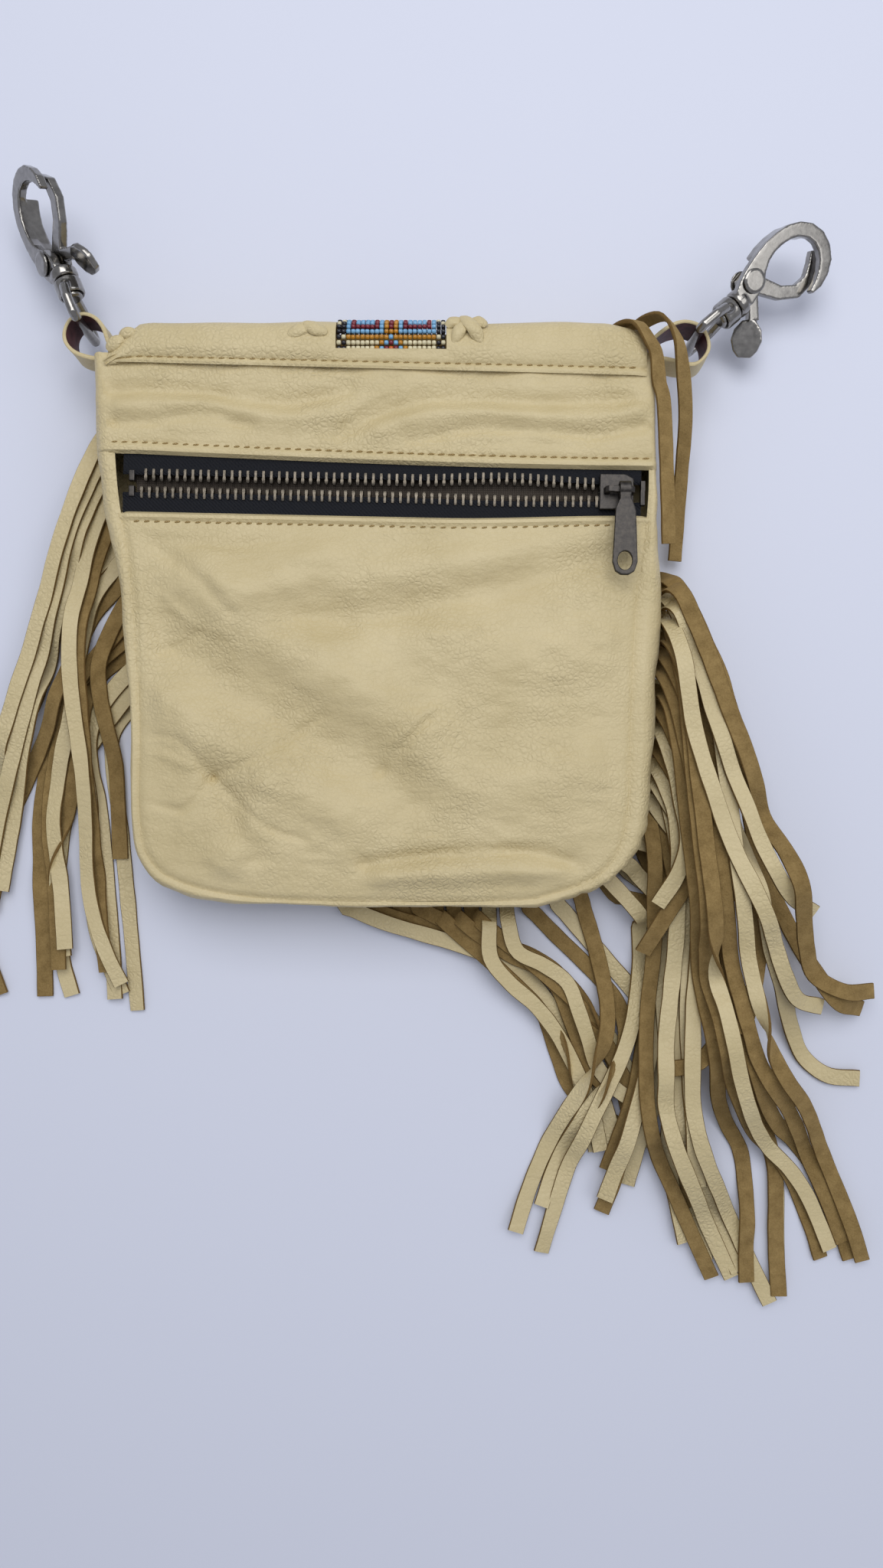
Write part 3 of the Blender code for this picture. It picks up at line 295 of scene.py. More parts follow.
def burgundy_lining():
    """Thin dyed lining leather inside the loops: dark wine red with a dull shine."""
    made, tree, shader, place = start_material("burgundy_lining_leather", Roughness=0.5)
    tone = cloud(tree, place, 3.0, 3.0).outputs["Fac"]
    colour = blend_colours(tree, spread(tree, tone, 0.3, 0.7), linear("#4A2226"), linear("#6E3A3C"))
    tree.links.new(colour, shader.inputs["Base Color"])
    bump(tree, shader, tone, 0.15)
    return made


def pocket_cotton():
    """Plain-woven cotton pocketing: grey-brown, matt, with threads drawn coarse enough to show."""
    made, tree, shader, place = start_material(
        "woven_cotton_pocketing", Roughness=0.9, Specular_IOR_Level=0.2
    )
    across = add_node(tree, "ShaderNodeTexWave", {"bands_direction": "X"}, {"Vector": place, "Scale": 0.45})
    down = add_node(tree, "ShaderNodeTexWave", {"bands_direction": "Y"}, {"Vector": place, "Scale": 0.45})
    weave = maths(tree, "MULTIPLY", across.outputs["Fac"], down.outputs["Fac"])
    colour = blend_colours(tree, weave, linear("#3B352F"), linear("#6B6158"))
    tree.links.new(colour, shader.inputs["Base Color"])
    bump(tree, shader, weave, 0.2)
    return made


def woven_tape():
    """Polyester zip tape: blue-black herringbone, slight thread shine, ribs a little over a millimetre."""
    look = settings("zip")
    made, tree, shader, place = start_material(
        "herringbone_polyester_tape", Roughness=0.7, Specular_IOR_Level=0.25
    )
    inputs = {"Vector": place, "Scale": 0.42}
    ribs = add_node(tree, "ShaderNodeTexWave", {"bands_direction": "DIAGONAL"}, inputs)
    threads = cloud(tree, place, 0.5, 2.0).outputs["Fac"]
    tone = maths(tree, "MULTIPLY", ribs.outputs["Fac"], spread(tree, threads, 0.2, 0.8))
    colour = blend_colours(tree, maths(tree, "MULTIPLY", tone, 0.8), linear("#0B0D14"), tuple(look.tape))
    tree.links.new(colour, shader.inputs["Base Color"])
    bump(tree, shader, tone, 0.25)
    return made


def plated_metal(name, code, roughness, wear, depth=0.02):
    """Plated metal: grey gloss broken by small wear spots and fine rubbing marks."""
    made, tree, shader, place = start_material(name, Metallic=1.0, Roughness=roughness)
    marks = cloud(tree, place, 1.6, 4.0, 0.65).outputs["Fac"]
    colour = blend_colours(tree, spread(tree, marks, 0.35, 0.7), linear(code), linear(wear))
    tree.links.new(colour, shader.inputs["Base Color"])
    inputs = {"Value": marks, "To Min": roughness * 0.7, "To Max": roughness * 1.5}
    rough = add_node(tree, "ShaderNodeMapRange", None, inputs)
    tree.links.new(rough.outputs[0], shader.inputs["Roughness"])
    bump(tree, shader, marks, depth)
    return made


def cast_nickel():
    """Nickel-plated die-cast zinc: bright grey mirror with soft tumbling marks and faint pitting."""
    made, tree, shader, place = start_material("nickel_plated_casting", Metallic=1.0, Roughness=0.2)
    marks = cloud(tree, place, 2.5, 4.0, 0.6).outputs["Fac"]
    pits = cloud(tree, place, 0.6, 2.0).outputs["Fac"]
    colour = blend_colours(tree, spread(tree, marks, 0.3, 0.75), linear("#8A8783"), linear("#A5A29D"))
    tree.links.new(colour, shader.inputs["Base Color"])
    rough = add_node(tree, "ShaderNodeMapRange", None, {"Value": marks, "To Min": 0.12, "To Max": 0.26})
    tree.links.new(rough.outputs[0], shader.inputs["Roughness"])
    bump(tree, shader, maths(tree, "ADD", marks, maths(tree, "MULTIPLY", pits, 0.25)), 0.02)
    return made


def waxed_thread():
    """Waxed sewing thread: tan, tight and slightly shiny, with its twist as a fine ripple."""
    made, tree, shader, place = start_material("waxed_tan_thread", Roughness=0.6)
    inputs = {"Vector": place, "Scale": 0.7}
    twist = add_node(tree, "ShaderNodeTexWave", {"bands_direction": "DIAGONAL"}, inputs)
    colour = blend_colours(tree, twist.outputs["Fac"], linear("#7A6234"), linear("#A38A55"))
    tree.links.new(colour, shader.inputs["Base Color"])
    bump(tree, shader, twist.outputs["Fac"], 0.1)
    return made


# Seed bead glass, by the colour's plain name
BEAD_COLOURS = {
    "black": "#17161F",
    "cream": "#E3D9B4",
    "mustard": "#C4861F",
    "sky": "#7DB4DC",
    "garnet": "#7C1D2C",
    "orange": "#CF5E1E",
}


def bead_glass(colour):
    """Opaque seed-bead glass: fire-polished, with a small bright highlight and faint streaks."""
    name = f"opaque_glass_{colour}"
    made, tree, shader, place = start_material(name, Roughness=0.16, IOR=1.52)
    streak = cloud(tree, place, 1.1, 2.0).outputs["Fac"]
    code = linear(BEAD_COLOURS[colour])
    dark = (*[c * 0.72 for c in code[:3]], 1.0)
    glass = blend_colours(tree, spread(tree, streak, 0.3, 0.7), dark, code)
    tree.links.new(glass, shader.inputs["Base Color"])
    bump(tree, shader, streak, 0.03)
    return made


MAKERS = {
    "hide": smooth_deerskin,
    "suede": brushed_suede,
    "edge": cut_edge,
    "burgundy": burgundy_lining,
    "cotton": pocket_cotton,
    "tape": woven_tape,
    "thread": waxed_thread,
    "nickel": cast_nickel,
    "teeth": lambda: plated_metal("antique_plated_teeth", "#4C473F", 0.36, "#7E766A"),
    "slider": lambda: plated_metal("gunmetal_plated_zinc", "#3C3A39", 0.42, "#57534F"),
    "steel": lambda: plated_metal("dark_spring_steel", "#57524C", 0.35, "#7C766D"),
    **{colour: (lambda c=colour: bead_glass(c)) for colour in BEAD_COLOURS},
}
MADE = {}


def finish_of(name):
    if name not in MADE:
        MADE[name] = MAKERS[name]()
    return MADE[name]


def make(name, points, faces, finishes, body="bag", replaces=(), picks=None, sharp=40):
    """One piece from points in millimetres, riding on its body and standing for the frame nodes named."""
    mesh = bpy.data.meshes.new(name)
    mesh.from_pydata((np.asarray(points, float) * MM).tolist(), [], [list(map(int, face)) for face in faces])
    for finish in finishes:
        mesh.materials.append(finish_of(finish))
    if picks is not None:
        mesh.polygons.foreach_set("material_index", np.asarray(picks, np.int32))
    bm = bmesh.new()
    bm.from_mesh(mesh)
    bmesh.ops.recalc_face_normals(bm, faces=bm.faces)
    bm.to_mesh(mesh)
    bm.free()
    mesh.shade_smooth()
    mesh.set_sharp_from_angle(angle=math.radians(sharp))
    obj = bpy.data.objects.new(name, mesh)
    bpy.context.scene.collection.objects.link(obj)
    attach(obj, body)
    if replaces:
        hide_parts(*replaces)
    return obj


def smooth_path(points, step):
    """Points at about equal steps along a Catmull-Rom curve through the given ones."""
    pts = [np.array(p, float) for p in points]
    pts = [2 * pts[0] - pts[1]] + pts + [2 * pts[-1] - pts[-2]]
    dense = []
    for a, b, c, d in zip(pts, pts[1:], pts[2:], pts[3:]):
        for t in np.linspace(0, 1, 16, endpoint=False):
            square = (2 * a - 5 * b + 4 * c - d) * t**2
            cube = (3 * b - a - 3 * c + d) * t**3
            dense.append(0.5 * (2 * b + (c - a) * t + square + cube))
    dense.append(pts[-2])
    dense = np.array(dense)
    run = lengths(dense)
    count = max(2, round(run[-1] / step) + 1)
    at = np.linspace(0, run[-1], count)
    return np.stack([np.interp(at, run, dense[:, k]) for k in range(dense.shape[1])], axis=1)


def lengths(path):
    """How far along a path each of its points is."""
    return np.concatenate([[0], np.cumsum(np.linalg.norm(np.diff(path, axis=0), axis=1))])


def ease(value):
    value = np.clip(value, 0, 1)
    return value * value * (3 - 2 * value)


def hump(distance, width):
    return np.exp(-((distance / width) ** 2))


def near(points, path):
    """The distance in plan from each point to a path."""
    points = np.asarray(points, float)
    path = np.asarray(path, float)[:, :2]
    best = np.full(len(points), 1e9)
    for a, b in zip(path, path[1:]):
        along = b - a
        size = max(along @ along, 1e-9)
        share = np.clip(((points - a) @ along) / size, 0, 1)
        off = points - a - share[:, None] * along
        best = np.minimum(best, np.hypot(off[:, 0], off[:, 1]))
    return best


def rough(points, size, seed):
    """A soft noise from about -1 to 1 at points in millimetres, with features of the given size."""
    shift = Vector((seed * 17.3, seed * 5.1, seed * 9.7))
    return np.array([noise.noise(Vector(p) / size + shift) for p in points]) * 2


def sheet(grid, thickness, missing=None):
    """A sheet whose outer side is the grid of points; the second result is its faces."""
    grid = np.array(grid, float)
    down = np.gradient(grid, axis=0)
    across = np.gradient(grid, axis=1)
    normal = np.cross(across, down)
    normal /= np.maximum(np.linalg.norm(normal, axis=2, keepdims=True), 1e-9)
    high, wide = grid.shape[:2]
    points = np.concatenate([grid.reshape(-1, 3), (grid - normal * thickness).reshape(-1, 3)])
    index = np.arange(high * wide).reshape(high, wide)
    keep = np.ones((high - 1, wide - 1), bool)
    if missing is not None:
        keep &= ~missing
    a, b, c, d = index[:-1, :-1][keep], index[:-1, 1:][keep], index[1:, 1:][keep], index[1:, :-1][keep]
    top = np.stack([a, b, c, d], axis=1)
    faces = [*top.tolist(), *(top[:, ::-1] + high * wide).tolist()]
    edges = {}
    for loop in top.tolist():
        for start, end in zip(loop, loop[1:] + loop[:1]):
            edges[(start, end)] = True
    for start, end in edges:
        if (end, start) not in edges:
            faces.append([end, start, start + high * wide, end + high * wide])
    used = sorted({k for face in faces for k in face})
    new = {old: i for i, old in enumerate(used)}
    return points[used], [[new[k] for k in face] for face in faces]


def ribbon(path, ups, section, scales):
    """A closed strip: the section's (across, up) points carried along a path, scaled at each point."""
    path = np.asarray(path, float)
    tangent = np.gradient(path, axis=0)
    tangent /= np.linalg.norm(tangent, axis=1, keepdims=True)
    side = np.cross(tangent, ups)
    side /= np.linalg.norm(side, axis=1, keepdims=True)
    top = np.cross(side, tangent)
    section = np.asarray(section, float)
    scales = np.asarray(scales, float)
    count = len(section)
    points = (
        path[:, None, :]
        + side[:, None, :] * (section[None, :, 0] * scales[:, 0:1])[:, :, None]
        + top[:, None, :] * (section[None, :, 1] * scales[:, 1:2])[:, :, None]
    ).reshape(-1, 3)
    faces = []
    for ring in range(len(path) - 1):
        start = ring * count
        for k in range(count):
            following = (k + 1) % count
            faces.append([start + k, start + following, start + count + following, start + count + k])
    faces.append(list(range(count))[::-1])
    faces.append([(len(path) - 1) * count + k for k in range(count)])
    return points, faces


def joined(parts):
    """Several (points, faces) as one, with how many faces each one gave."""
    points, faces, counts, total = [], [], [], 0
    for part_points, part_faces in parts:
        points.append(np.asarray(part_points, float))
        faces += [[k + total for k in face] for face in part_faces]
        counts.append(len(part_faces))
        total += len(part_points)
    return np.concatenate(points), faces, counts


def rim_posts(node):
    """The chain of a flat-lying solid's upright edges, as rows of x, y, low and high in millimetres."""
    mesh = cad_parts[node].data
    posts, cells, links = [], {}, {}

    def post_at(place):
        x, y, z = np.array(place) / MM
        i, j = round(x * 20), round(y * 20)
        for a in (i - 1, i, i + 1):
            for b in (j - 1, j, j + 1):
                for k in cells.get((a, b), ()):
                    if abs(posts[k][0] - x) < 0.01 and abs(posts[k][1] - y) < 0.01:
                        posts[k][2] = min(posts[k][2], z)
                        posts[k][3] = max(posts[k][3], z)
                        return k
        posts.append([x, y, z, z])
        cells.setdefault((i, j), []).append(len(posts) - 1)
        return len(posts) - 1

    for face in mesh.polygons:
        if abs(face.normal.z) > 0.02:
            continue
        ends = {post_at(mesh.vertices[v].co) for v in face.vertices}
        if len(ends) == 2:
            a, b = ends
            links.setdefault(a, set()).add(b)
            links.setdefault(b, set()).add(a)
    start = min(links)
    chain = [start]
    while len(chain) <= len(links):
        onward = [k for k in links[chain[-1]] if len(chain) < 2 or k != chain[-2]]
        if not onward or onward[0] == start:
            break
        chain.append(onward[0])
    return np.array([posts[k] for k in chain])


def seam_line():
    """The bag's seam in plan, from its top left corner round the bottom to its top right one."""
    posts = rim_posts("front_panel")[:, :2]
    top = posts[:, 1].max()
    corner = int(np.argmin(posts[:, 0] + np.where(posts[:, 1] > top - 0.5, 0, 1e6)))
    posts = np.roll(posts, -corner, axis=0)
    if posts[1, 1] > top - 0.5:
        posts = np.roll(posts[::-1], 1, axis=0)
    last = int(np.argmax(posts[1:, 1] > top - 0.5)) + 1
    return smooth_path(posts[: last + 1], 2.5)


SEAM = seam_line()
LOWEST = int(np.argmin(np.abs(SEAM[:, 0]) + (SEAM[:, 1] - SEAM[:, 1].min()) * 100))
SEAM_BOTTOM = SEAM[:, 1].min()


def seam_sides(y):
    """The left and right ends of a row across the bag at this height."""
    left = SEAM[: LOWEST + 1][::-1]
    right = SEAM[LOWEST:]
    return np.interp(y, left[:, 1], left[:, 0]), np.interp(y, right[:, 1], right[:, 0])


def seam_normals():
    tangent = np.gradient(SEAM, axis=0)
    tangent /= np.linalg.norm(tangent, axis=1, keepdims=True)
    return np.stack([tangent[:, 1], -tangent[:, 0]], axis=1)


def seam_bulge():
    """How far the gusset of the frame stands out past the seam, along the seam."""
    points = np.array([v.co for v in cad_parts["gusset"].data.vertices]) / MM
    reach = []
    for place, normal in zip(SEAM, seam_normals()):
        off = points[:, :2] - place
        beside = np.abs(off @ np.array([-normal[1], normal[0]])) < 9.0
        out = (off @ normal)[beside]
        reach.append(out[np.abs(out) < 16].max(initial=2.0))
    reach = np.array(reach)
    kernel = np.ones(9) / 9
    return np.convolve(np.pad(reach, 4, mode="edge"), kernel, mode="valid")


BULGE = seam_bulge()
gusset_top = back_top + 0.2
gusset_foot = front_low - 0.1
section_power = 0.62


def gusset_section(turn, bulge):
    """How far out and how high the gusset's outer side is at a turn from -90 to 90 degrees."""
    middle = (gusset_top + gusset_foot) / 2
    half = (gusset_top - gusset_foot) / 2
    return bulge * np.maximum(np.cos(turn), 0) ** section_power, middle + half * np.sin(turn)


def zip_line(x, offset=0.0):
    return zip_centre[1] + offset + (x - zip_centre[0]) * math.tan(zip_tilt)


# Soft folds of the lower panel: height (a valley is negative), half width, and the way across the panel
LOWER_FOLDS = (
    (2.9, 12.0, ((-68, 14), (-48, -4), (-27, -18), (-2, -35), (14, -46))),
    (-2.4, 12.0, ((-86, -8), (-62, -26), (-42, -36), (-12, -55), (10, -66))),
    (2.3, 11.0, ((-14, 34), (-34, 17), (-52, 4))),
    (-2.6, 8.0, ((-50, -1), (-12, 0), (30, 7), (66, 17), (93, 27))),
    (1.6, 9.0, ((-10, 12), (24, 20), (50, 28))),
    (1.7, 12.0, ((20, -10), (50, -18), (84, -10))),
    (2.0, 10.0, ((-84, -34), (-64, -48), (-40, -62), (-18, -76))),
    (-1.3, 5.0, ((-66, -60), (-58, -78), (-50, -92))),
    (1.5, 6.0, ((-46, -66), (-52, -84), (-60, -96))),
    (1.9, 10.0, ((16, -62), (44, -66), (76, -58))),
    (-1.7, 3.2, ((-8, -95), (14, -92), (40, -90.5), (60, -91), (74, -97))),
    (2.2, 5.5, ((0, -101), (24, -99), (48, -98), (66, -100))),
    (1.0, 2.0, ((18, -36), (8, -46), (1, -56))),
    (-1.1, 2.0, ((16, -40), (6, -50), (-2, -60))),
    (-0.9, 2.2, ((-98, 33), (-78, 28), (-57, 26.5), (-44, 29))),
    (-1.0, 3.0, ((-98, 33), (-76, 18), (-58, 0))),
    (-0.6, 1.8, ((-66, -62), (-44, -52), (-24, -38))),
    (-0.6, 1.6, ((-66, -62), (-78, -48), (-92, -46))),
    (-0.7, 1.8, ((-66, -62), (-76, -74), (-90, -72))),
    (-0.6, 1.6, ((-66, -62), (-46, -80), (-30, -86))),
    (0.5, 1.6, ((-94, -52), (-84, -54), (-74, -58))),
    (-0.6, 1.7, ((-92, -14), (-80, -12), (-70, -6))),
    (0.5, 1.8, ((-84, 6), (-72, -4), (-60, -8))),
)

# Soft folds of the upper panel
UPPER_FOLDS = (
    (-1.3, 3.2, ((-104, 86), (-71, 85), (-42, 81), (-30, 82), (-14, 86))),
    (1.2, 4.0, ((-100, 79), (-66, 80), (-40, 75), (-20, 77))),
    (-0.9, 2.6, ((-107, 74), (-90, 74), (-70, 77), (-52, 73))),
    (-1.3, 3.4, ((-17, 68), (-6, 75), (8, 80), (30, 82), (60, 80), (92, 82))),
    (1.3, 4.0, ((-2, 70), (14, 75), (34, 77), (64, 75), (96, 77))),
    (-1.0, 2.8, ((10, 66), (34, 71), (58, 70), (80, 69), (99, 72))),
    (-0.6, 1.8, ((30, 64), (52, 66), (74, 63))),
    (-0.5, 1.6, ((-16, 72), (-8, 78), (4, 84))),
)


# The folds' heights above are as drawn, and this brings them to the depth that the light shows
fold_gain = 1.5


def relief(places, folds):
    """The height of a panel's folds and wrinkles at places in plan."""
    height = np.zeros(len(places))
    for rise, width, way in folds:
        height += rise * hump(near(places, smooth_path(way, 4.0)), width)
    height *= settings("leather").fold_height * fold_gain
    flat = np.column_stack([places, np.zeros(len(places))])
    height += 0.55 * rough(flat, 26.0, 1) + 0.28 * rough(flat * (1.0, 1.7, 1.0), 9.0, 2)
    ripples = 0.5 - np.abs(rough(flat * (1.0, 1.5, 1.0), 6.0, 3))
    return height + 0.22 * ripples


def turned_edge(distance, stitch):
    """The rise of an edge that is turned under and sewn down, at a distance from its fold."""
    roll = 0.9 * np.sin(np.pi * np.clip(distance / stitch, 0, 1)) ** 0.7
    groove = -0.55 * hump(distance - stitch, 0.8)
    drop = -1.5 * (1 - np.clip(distance / 1.1, 0, 1)) ** 2
    return roll + groove + drop


turned_width = 4.0
panel_top = 100.0


def upper_edge(x):
    """The upper panel's turned edge over the zip, which sags a little in its middle."""
    share = (x + 94.0) / 190.0
    return zip_line(x, zip_window / 2) + 1.2 - 2.4 * np.sin(np.pi * np.clip(share, 0, 1) * 0.62)


def lower_edge(x):
    """The lower panel's turned edge under the zip, which rises towards its right end."""
    return zip_line(x, -zip_window / 2) - 0.9 + 2.4 * ease((x - 20.0) / 80.0)


def lower_height(x, y):
    """The outer level of the lower panel at places in plan."""
    places = np.column_stack([x, y])
    edge = near(places, SEAM)
    below = lower_edge(x) - y
    calm = ease(edge / 12.0) * ease((below - turned_width) / 14.0)
    level = back_top + 1.9 * ease(edge / 22.0) * ease(below / 30.0) + relief(places, LOWER_FOLDS) * calm
    return level - 1.3 * hump(edge, 1.7) + turned_edge(below, turned_width)


def upper_height(x, y):
    """The outer level of the upper panel between the zip and the flap's sewn edge."""
    places = np.column_stack([x, y])
    above = y - upper_edge(x)
    calm = ease((above - turned_width) / 8.0) * ease((panel_top - y) / 7.0)
    return back_top + 0.5 * calm + relief(places, UPPER_FOLDS) * calm + turned_edge(above, turned_width)


# The panel's edge runs a little way into the gusset's roll, which closes the seam
seam_lap = 0.9


def lower_panel():
    high, wide = 150, 150
    xs, ys = [], []
    for share in np.linspace(0, 1, high) ** 1.25:
        middle = SEAM_BOTTOM + (lower_edge(0.0) - SEAM_BOTTOM) * share
        left, right = seam_sides(middle)
        x = np.linspace(left - seam_lap, right + seam_lap, wide)
        xs.append(x)
        ys.append(SEAM_BOTTOM + (lower_edge(x) - SEAM_BOTTOM) * share)
    x, y = np.array(xs), np.array(ys)
    z = lower_height(x.ravel(), y.ravel()).reshape(x.shape)
    grid = np.stack([x, y, z], axis=2)
    points, faces = sheet(grid, leather)
    panel = make("lower_back_panel", points, faces, ["hide"], replaces=["back_lower_panel"])


def shoulder(y, sign, turns, extra):
    """Places down the bag's side from its top, for a panel that wraps over it."""
    half = SEAM[: LOWEST + 1] if sign < 0 else SEAM[LOWEST:][::-1]
    bulges = BULGE[: LOWEST + 1] if sign < 0 else BULGE[LOWEST:][::-1]
    order = np.argsort(half[:, 1])
    edge = np.interp(y, half[order, 1], half[order, 0])
    bulge = np.interp(y, half[order, 1], bulges[order])
    out, level = gusset_section(turns, bulge + extra)
    return edge + sign * out, level


def upper_panel():
    turns = np.radians(np.linspace(84, 14, 9))
    rows = []
    for share in np.linspace(0, 1, 44):
        middle = upper_edge(0.0) + (panel_top - upper_edge(0.0)) * share
        left, right = seam_sides(middle)
        x = np.linspace(left, right, 150)
        y = upper_edge(x) + (panel_top - upper_edge(x)) * share
        z = upper_height(x, y)
        left_x, left_z = shoulder(middle, -1, turns, 0.8)
        right_x, right_z = shoulder(middle, 1, turns, 0.8)
        drop = turned_edge(np.array([middle - upper_edge(0.0)]), turned_width)[0]
        row = [(a, y[0], b + 0.5 + drop * 0.6) for a, b in zip(left_x[::-1], left_z[::-1])]
        row += list(zip(x, y, z))
        row += [(a, y[-1], b + 0.5 + drop * 0.6) for a, b in zip(right_x, right_z)]
        rows.append(row)
    points, faces = sheet(np.array(rows), leather)
    panel = make("upper_back_panel", points, faces, ["hide"], replaces=["back_upper_panel"])


def gusset_strip():
    turns = np.radians(np.linspace(90, -90, 25))
    rows = []
    normals = seam_normals()
    run = lengths(SEAM)
    for k, (place, normal, bulge) in enumerate(zip(SEAM, normals, BULGE)):
        out, level = gusset_section(turns, bulge)
        level = level - 1.3 * hump(out, 1.3) * (turns > 0)
        plan = place + normal * out[:, None]
        rows.append(np.column_stack([plan, level]))
    grid = np.array(rows)
    flat = grid.reshape(-1, 3)
    wrinkle = 0.35 * rough(flat, 9.0, 5) + 0.9 * rough(flat, 34.0, 6)
    middle = np.cos(np.tile(turns, len(SEAM))) ** 0.8
    # The gusset puckers where it is eased round the lower right corner.
    eased = hump(np.repeat(run - run[LOWEST] - 88.0, len(turns)), 26.0)
    pucker = 0.6 * eased * np.sin(np.repeat(run, len(turns)) * 2 * math.pi / 7.0)
    out_ward = np.repeat(np.column_stack([normals, np.zeros(len(normals))]), len(turns), axis=0)
    grid = (flat + out_ward * ((wrinkle + pucker) * middle)[:, None]).reshape(grid.shape)
    points, faces = sheet(grid, leather)
    strip = make("gusset_strip", points, faces, ["hide"], replaces=["gusset"])


# The flap's middle surface: shares of the rise from the floor to the back, from its sewn edge over the top
FLAP_FOLD = (
    (93.0, 1.0),
    (101.0, 1.0),
    (106.5, 0.95),
    (110.0, 0.81),
    (110.7, 0.58),
    (110.3, 0.34),
    (108.0, 0.14),
)
fold_step = 3.6


def fold_path():
    """The flap's middle line over the fold, and the two runs along it between which the beads lie."""
    rise = flap_high_level - flap_low_level
    back = [(y, flap_low_level + share * rise) for y, share in FLAP_FOLD]
    fold = smooth_path([*back, (103.0, flap_low_level + 0.7), (96.0, flap_low_level)], fold_step)
    run = lengths(fold)
    fine = smooth_path(fold, 0.9)
    return fine, run[window_rows[0]], run[window_rows[1]]


FOLD, BEADS_FROM, BEADS_TO = fold_path()


def fold_frame(path):
    """Directions out of the bag at each point of a path in y and z."""
    tangent = np.gradient(path, axis=0)
    tangent /= np.linalg.norm(tangent, axis=1, keepdims=True)
    return np.stack([-tangent[:, 1], tangent[:, 0]], axis=1)


def flap_half(y):
    below = flap_end + flap_corner - y
    if below <= 0:
        return flap_half_width
    return flap_half_width - flap_corner + math.sqrt(max(flap_corner**2 - below**2, 4.0))


# The sewn band reaches past the flap to the bag's corners, and its left end slopes down to the strap loop
band_left_reach = 8.0
band_right_reach = 1.5
band_stitch = 2.6
fold_swell = 2.3


def flap_row(x, y, s):
    """Where a row of the flap lies, at a run s from the sewn edge, which slopes as the zip does."""
    slope = -(x - zip_centre[0]) * 0.026 * (1 - ease(s / 12.0))
    corner = -0.55 * np.maximum(-94.0 - x, 0) * ease(s / 8.0) * ease((44.0 - s) / 24.0)
    return y + slope + corner


def flap_lift(x, s):
    """How far the flap's outer side stands off its middle line near the sewn edge."""
    ends = np.clip((np.abs(x + 3.0) - 96.0) / 9.0, 0, 1) ** 2
    roll = 0.5 * hump(s - 1.2, 1.0) - 0.75 * hump(s - band_stitch, 0.75)
    return leather / 2 + roll - 2.2 * ends * ease((30 - s) / 12)


def flap_sheet():
    run = lengths(FOLD)
    out = fold_frame(FOLD)
    window = (bead_centre - bead_width / 2, bead_centre + bead_width / 2)
    rows = []
    for (y, z), (oy, oz), s in zip(FOLD, out, run):
        reach = ease((44.0 - s) / 24.0)
        across = [
            *np.linspace(-flap_half_width - band_left_reach * reach, window[0], 52),
            *np.linspace(window[0], window[1], 20)[1:-1],
            *np.linspace(window[1], flap_half_width + band_right_reach * reach, 46),
        ]
        x = np.array(across)
        beside = (x < window[0] - 2) | (x > window[1] + 2)
        full = fold_swell * hump(s - 17.0, 9.0) * ease((x + 104.0) / 16.0) * ease((97.0 - x) / 14.0)
        lift = flap_lift(x, s) + 0.7 * hump(s - 7.0, 2.6) * beside + full
        flat = np.column_stack([x, np.full(len(x), s), np.zeros(len(x))])
        lift = lift + 0.5 * rough(flat, 22.0, 8) * ease((s - 5) / 8) * ease((run[-1] - s) / 20)
        rows.append(np.column_stack([x, flap_row(x, y, s) + oy * lift, z + oz * lift]))
    fold_rows = len(rows)
    for y in np.linspace(FOLD[-1, 0], flap_end, 60)[1:]:
        x = np.clip(across, -flap_half_width, flap_half_width) * flap_half(y) / flap_half_width
        rows.append(np.column_stack([x, np.full(len(x), y), np.full(len(x), flap_low_level - leather / 2)]))
    grid = np.array(rows)
    missing = np.zeros((len(rows) - 1, len(across) - 1), bool)
    inside = (run[:-1] >= BEADS_FROM - 0.5) & (run[1:] <= BEADS_TO + 0.5)
    missing[: fold_rows - 1][inside, 51:70] = True
    points, faces = sheet(grid, leather, missing)
    flap = make("folded_flap", points, faces, ["hide"], replaces=["flap"])


# The motif's lower rows, from the middle column outwards, and the colour that fills the rest of each row
BEAD_STEPS = (
    (("orange", "garnet", "sky", "mustard"), "cream"),
    (("garnet", "sky", "mustard"), "cream"),
    (("sky",), "mustard"),
    (("mustard", "mustard"), "sky"),
)


def bead_colour(row, column):
    """A stepped traditional motif, alike on both sides of its middle: columns count out from the middle."""
    turn = row % 16
    step = min(turn, 15 - turn)
    if column >= 10:
        return "cream" if (row % 4, column) in ((1, 11), (2, 10)) else "black"
    if step < len(BEAD_STEPS):
        middle, rest = BEAD_STEPS[step]
        return middle[column] if column < len(middle) else rest
    if column <= 1:
        return ("garnet", "mustard")[column]
    if column in (2, 9):
        return "sky"
    return "garnet" if step == 4 or step == 7 or column in (3, 8) else "sky"


def barrel(place, half_length, radius, sides=8):
    """One bead: a short barrel about X, with round shoulders."""
    profile = ((-1.0, 0.55), (-0.86, 0.82), (-0.4, 1.0), (0.4, 1.0), (0.86, 0.82), (1.0, 0.55))
    points = []
    for along, share in profile:
        x = place[0] + along * half_length
        for k in range(sides):
            turn = 2 * math.pi * k / sides
            y = place[1] + share * radius * math.cos(turn)
            z = place[2] + share * radius * math.sin(turn)
            points.append((x, y, z))
    faces = []
    for ring in range(len(profile) - 1):
        for k in range(sides):
            a, b = ring * sides + k, ring * sides + (k + 1) % sides
            faces.append([a, b, b + sides, a + sides])
    faces.append(list(range(sides))[::-1])
    faces.append([(len(profile) - 1) * sides + k for k in range(sides)])
    return points, faces


# How far the strip stands off the fold where it turns over the top
bead_swell = 3.4


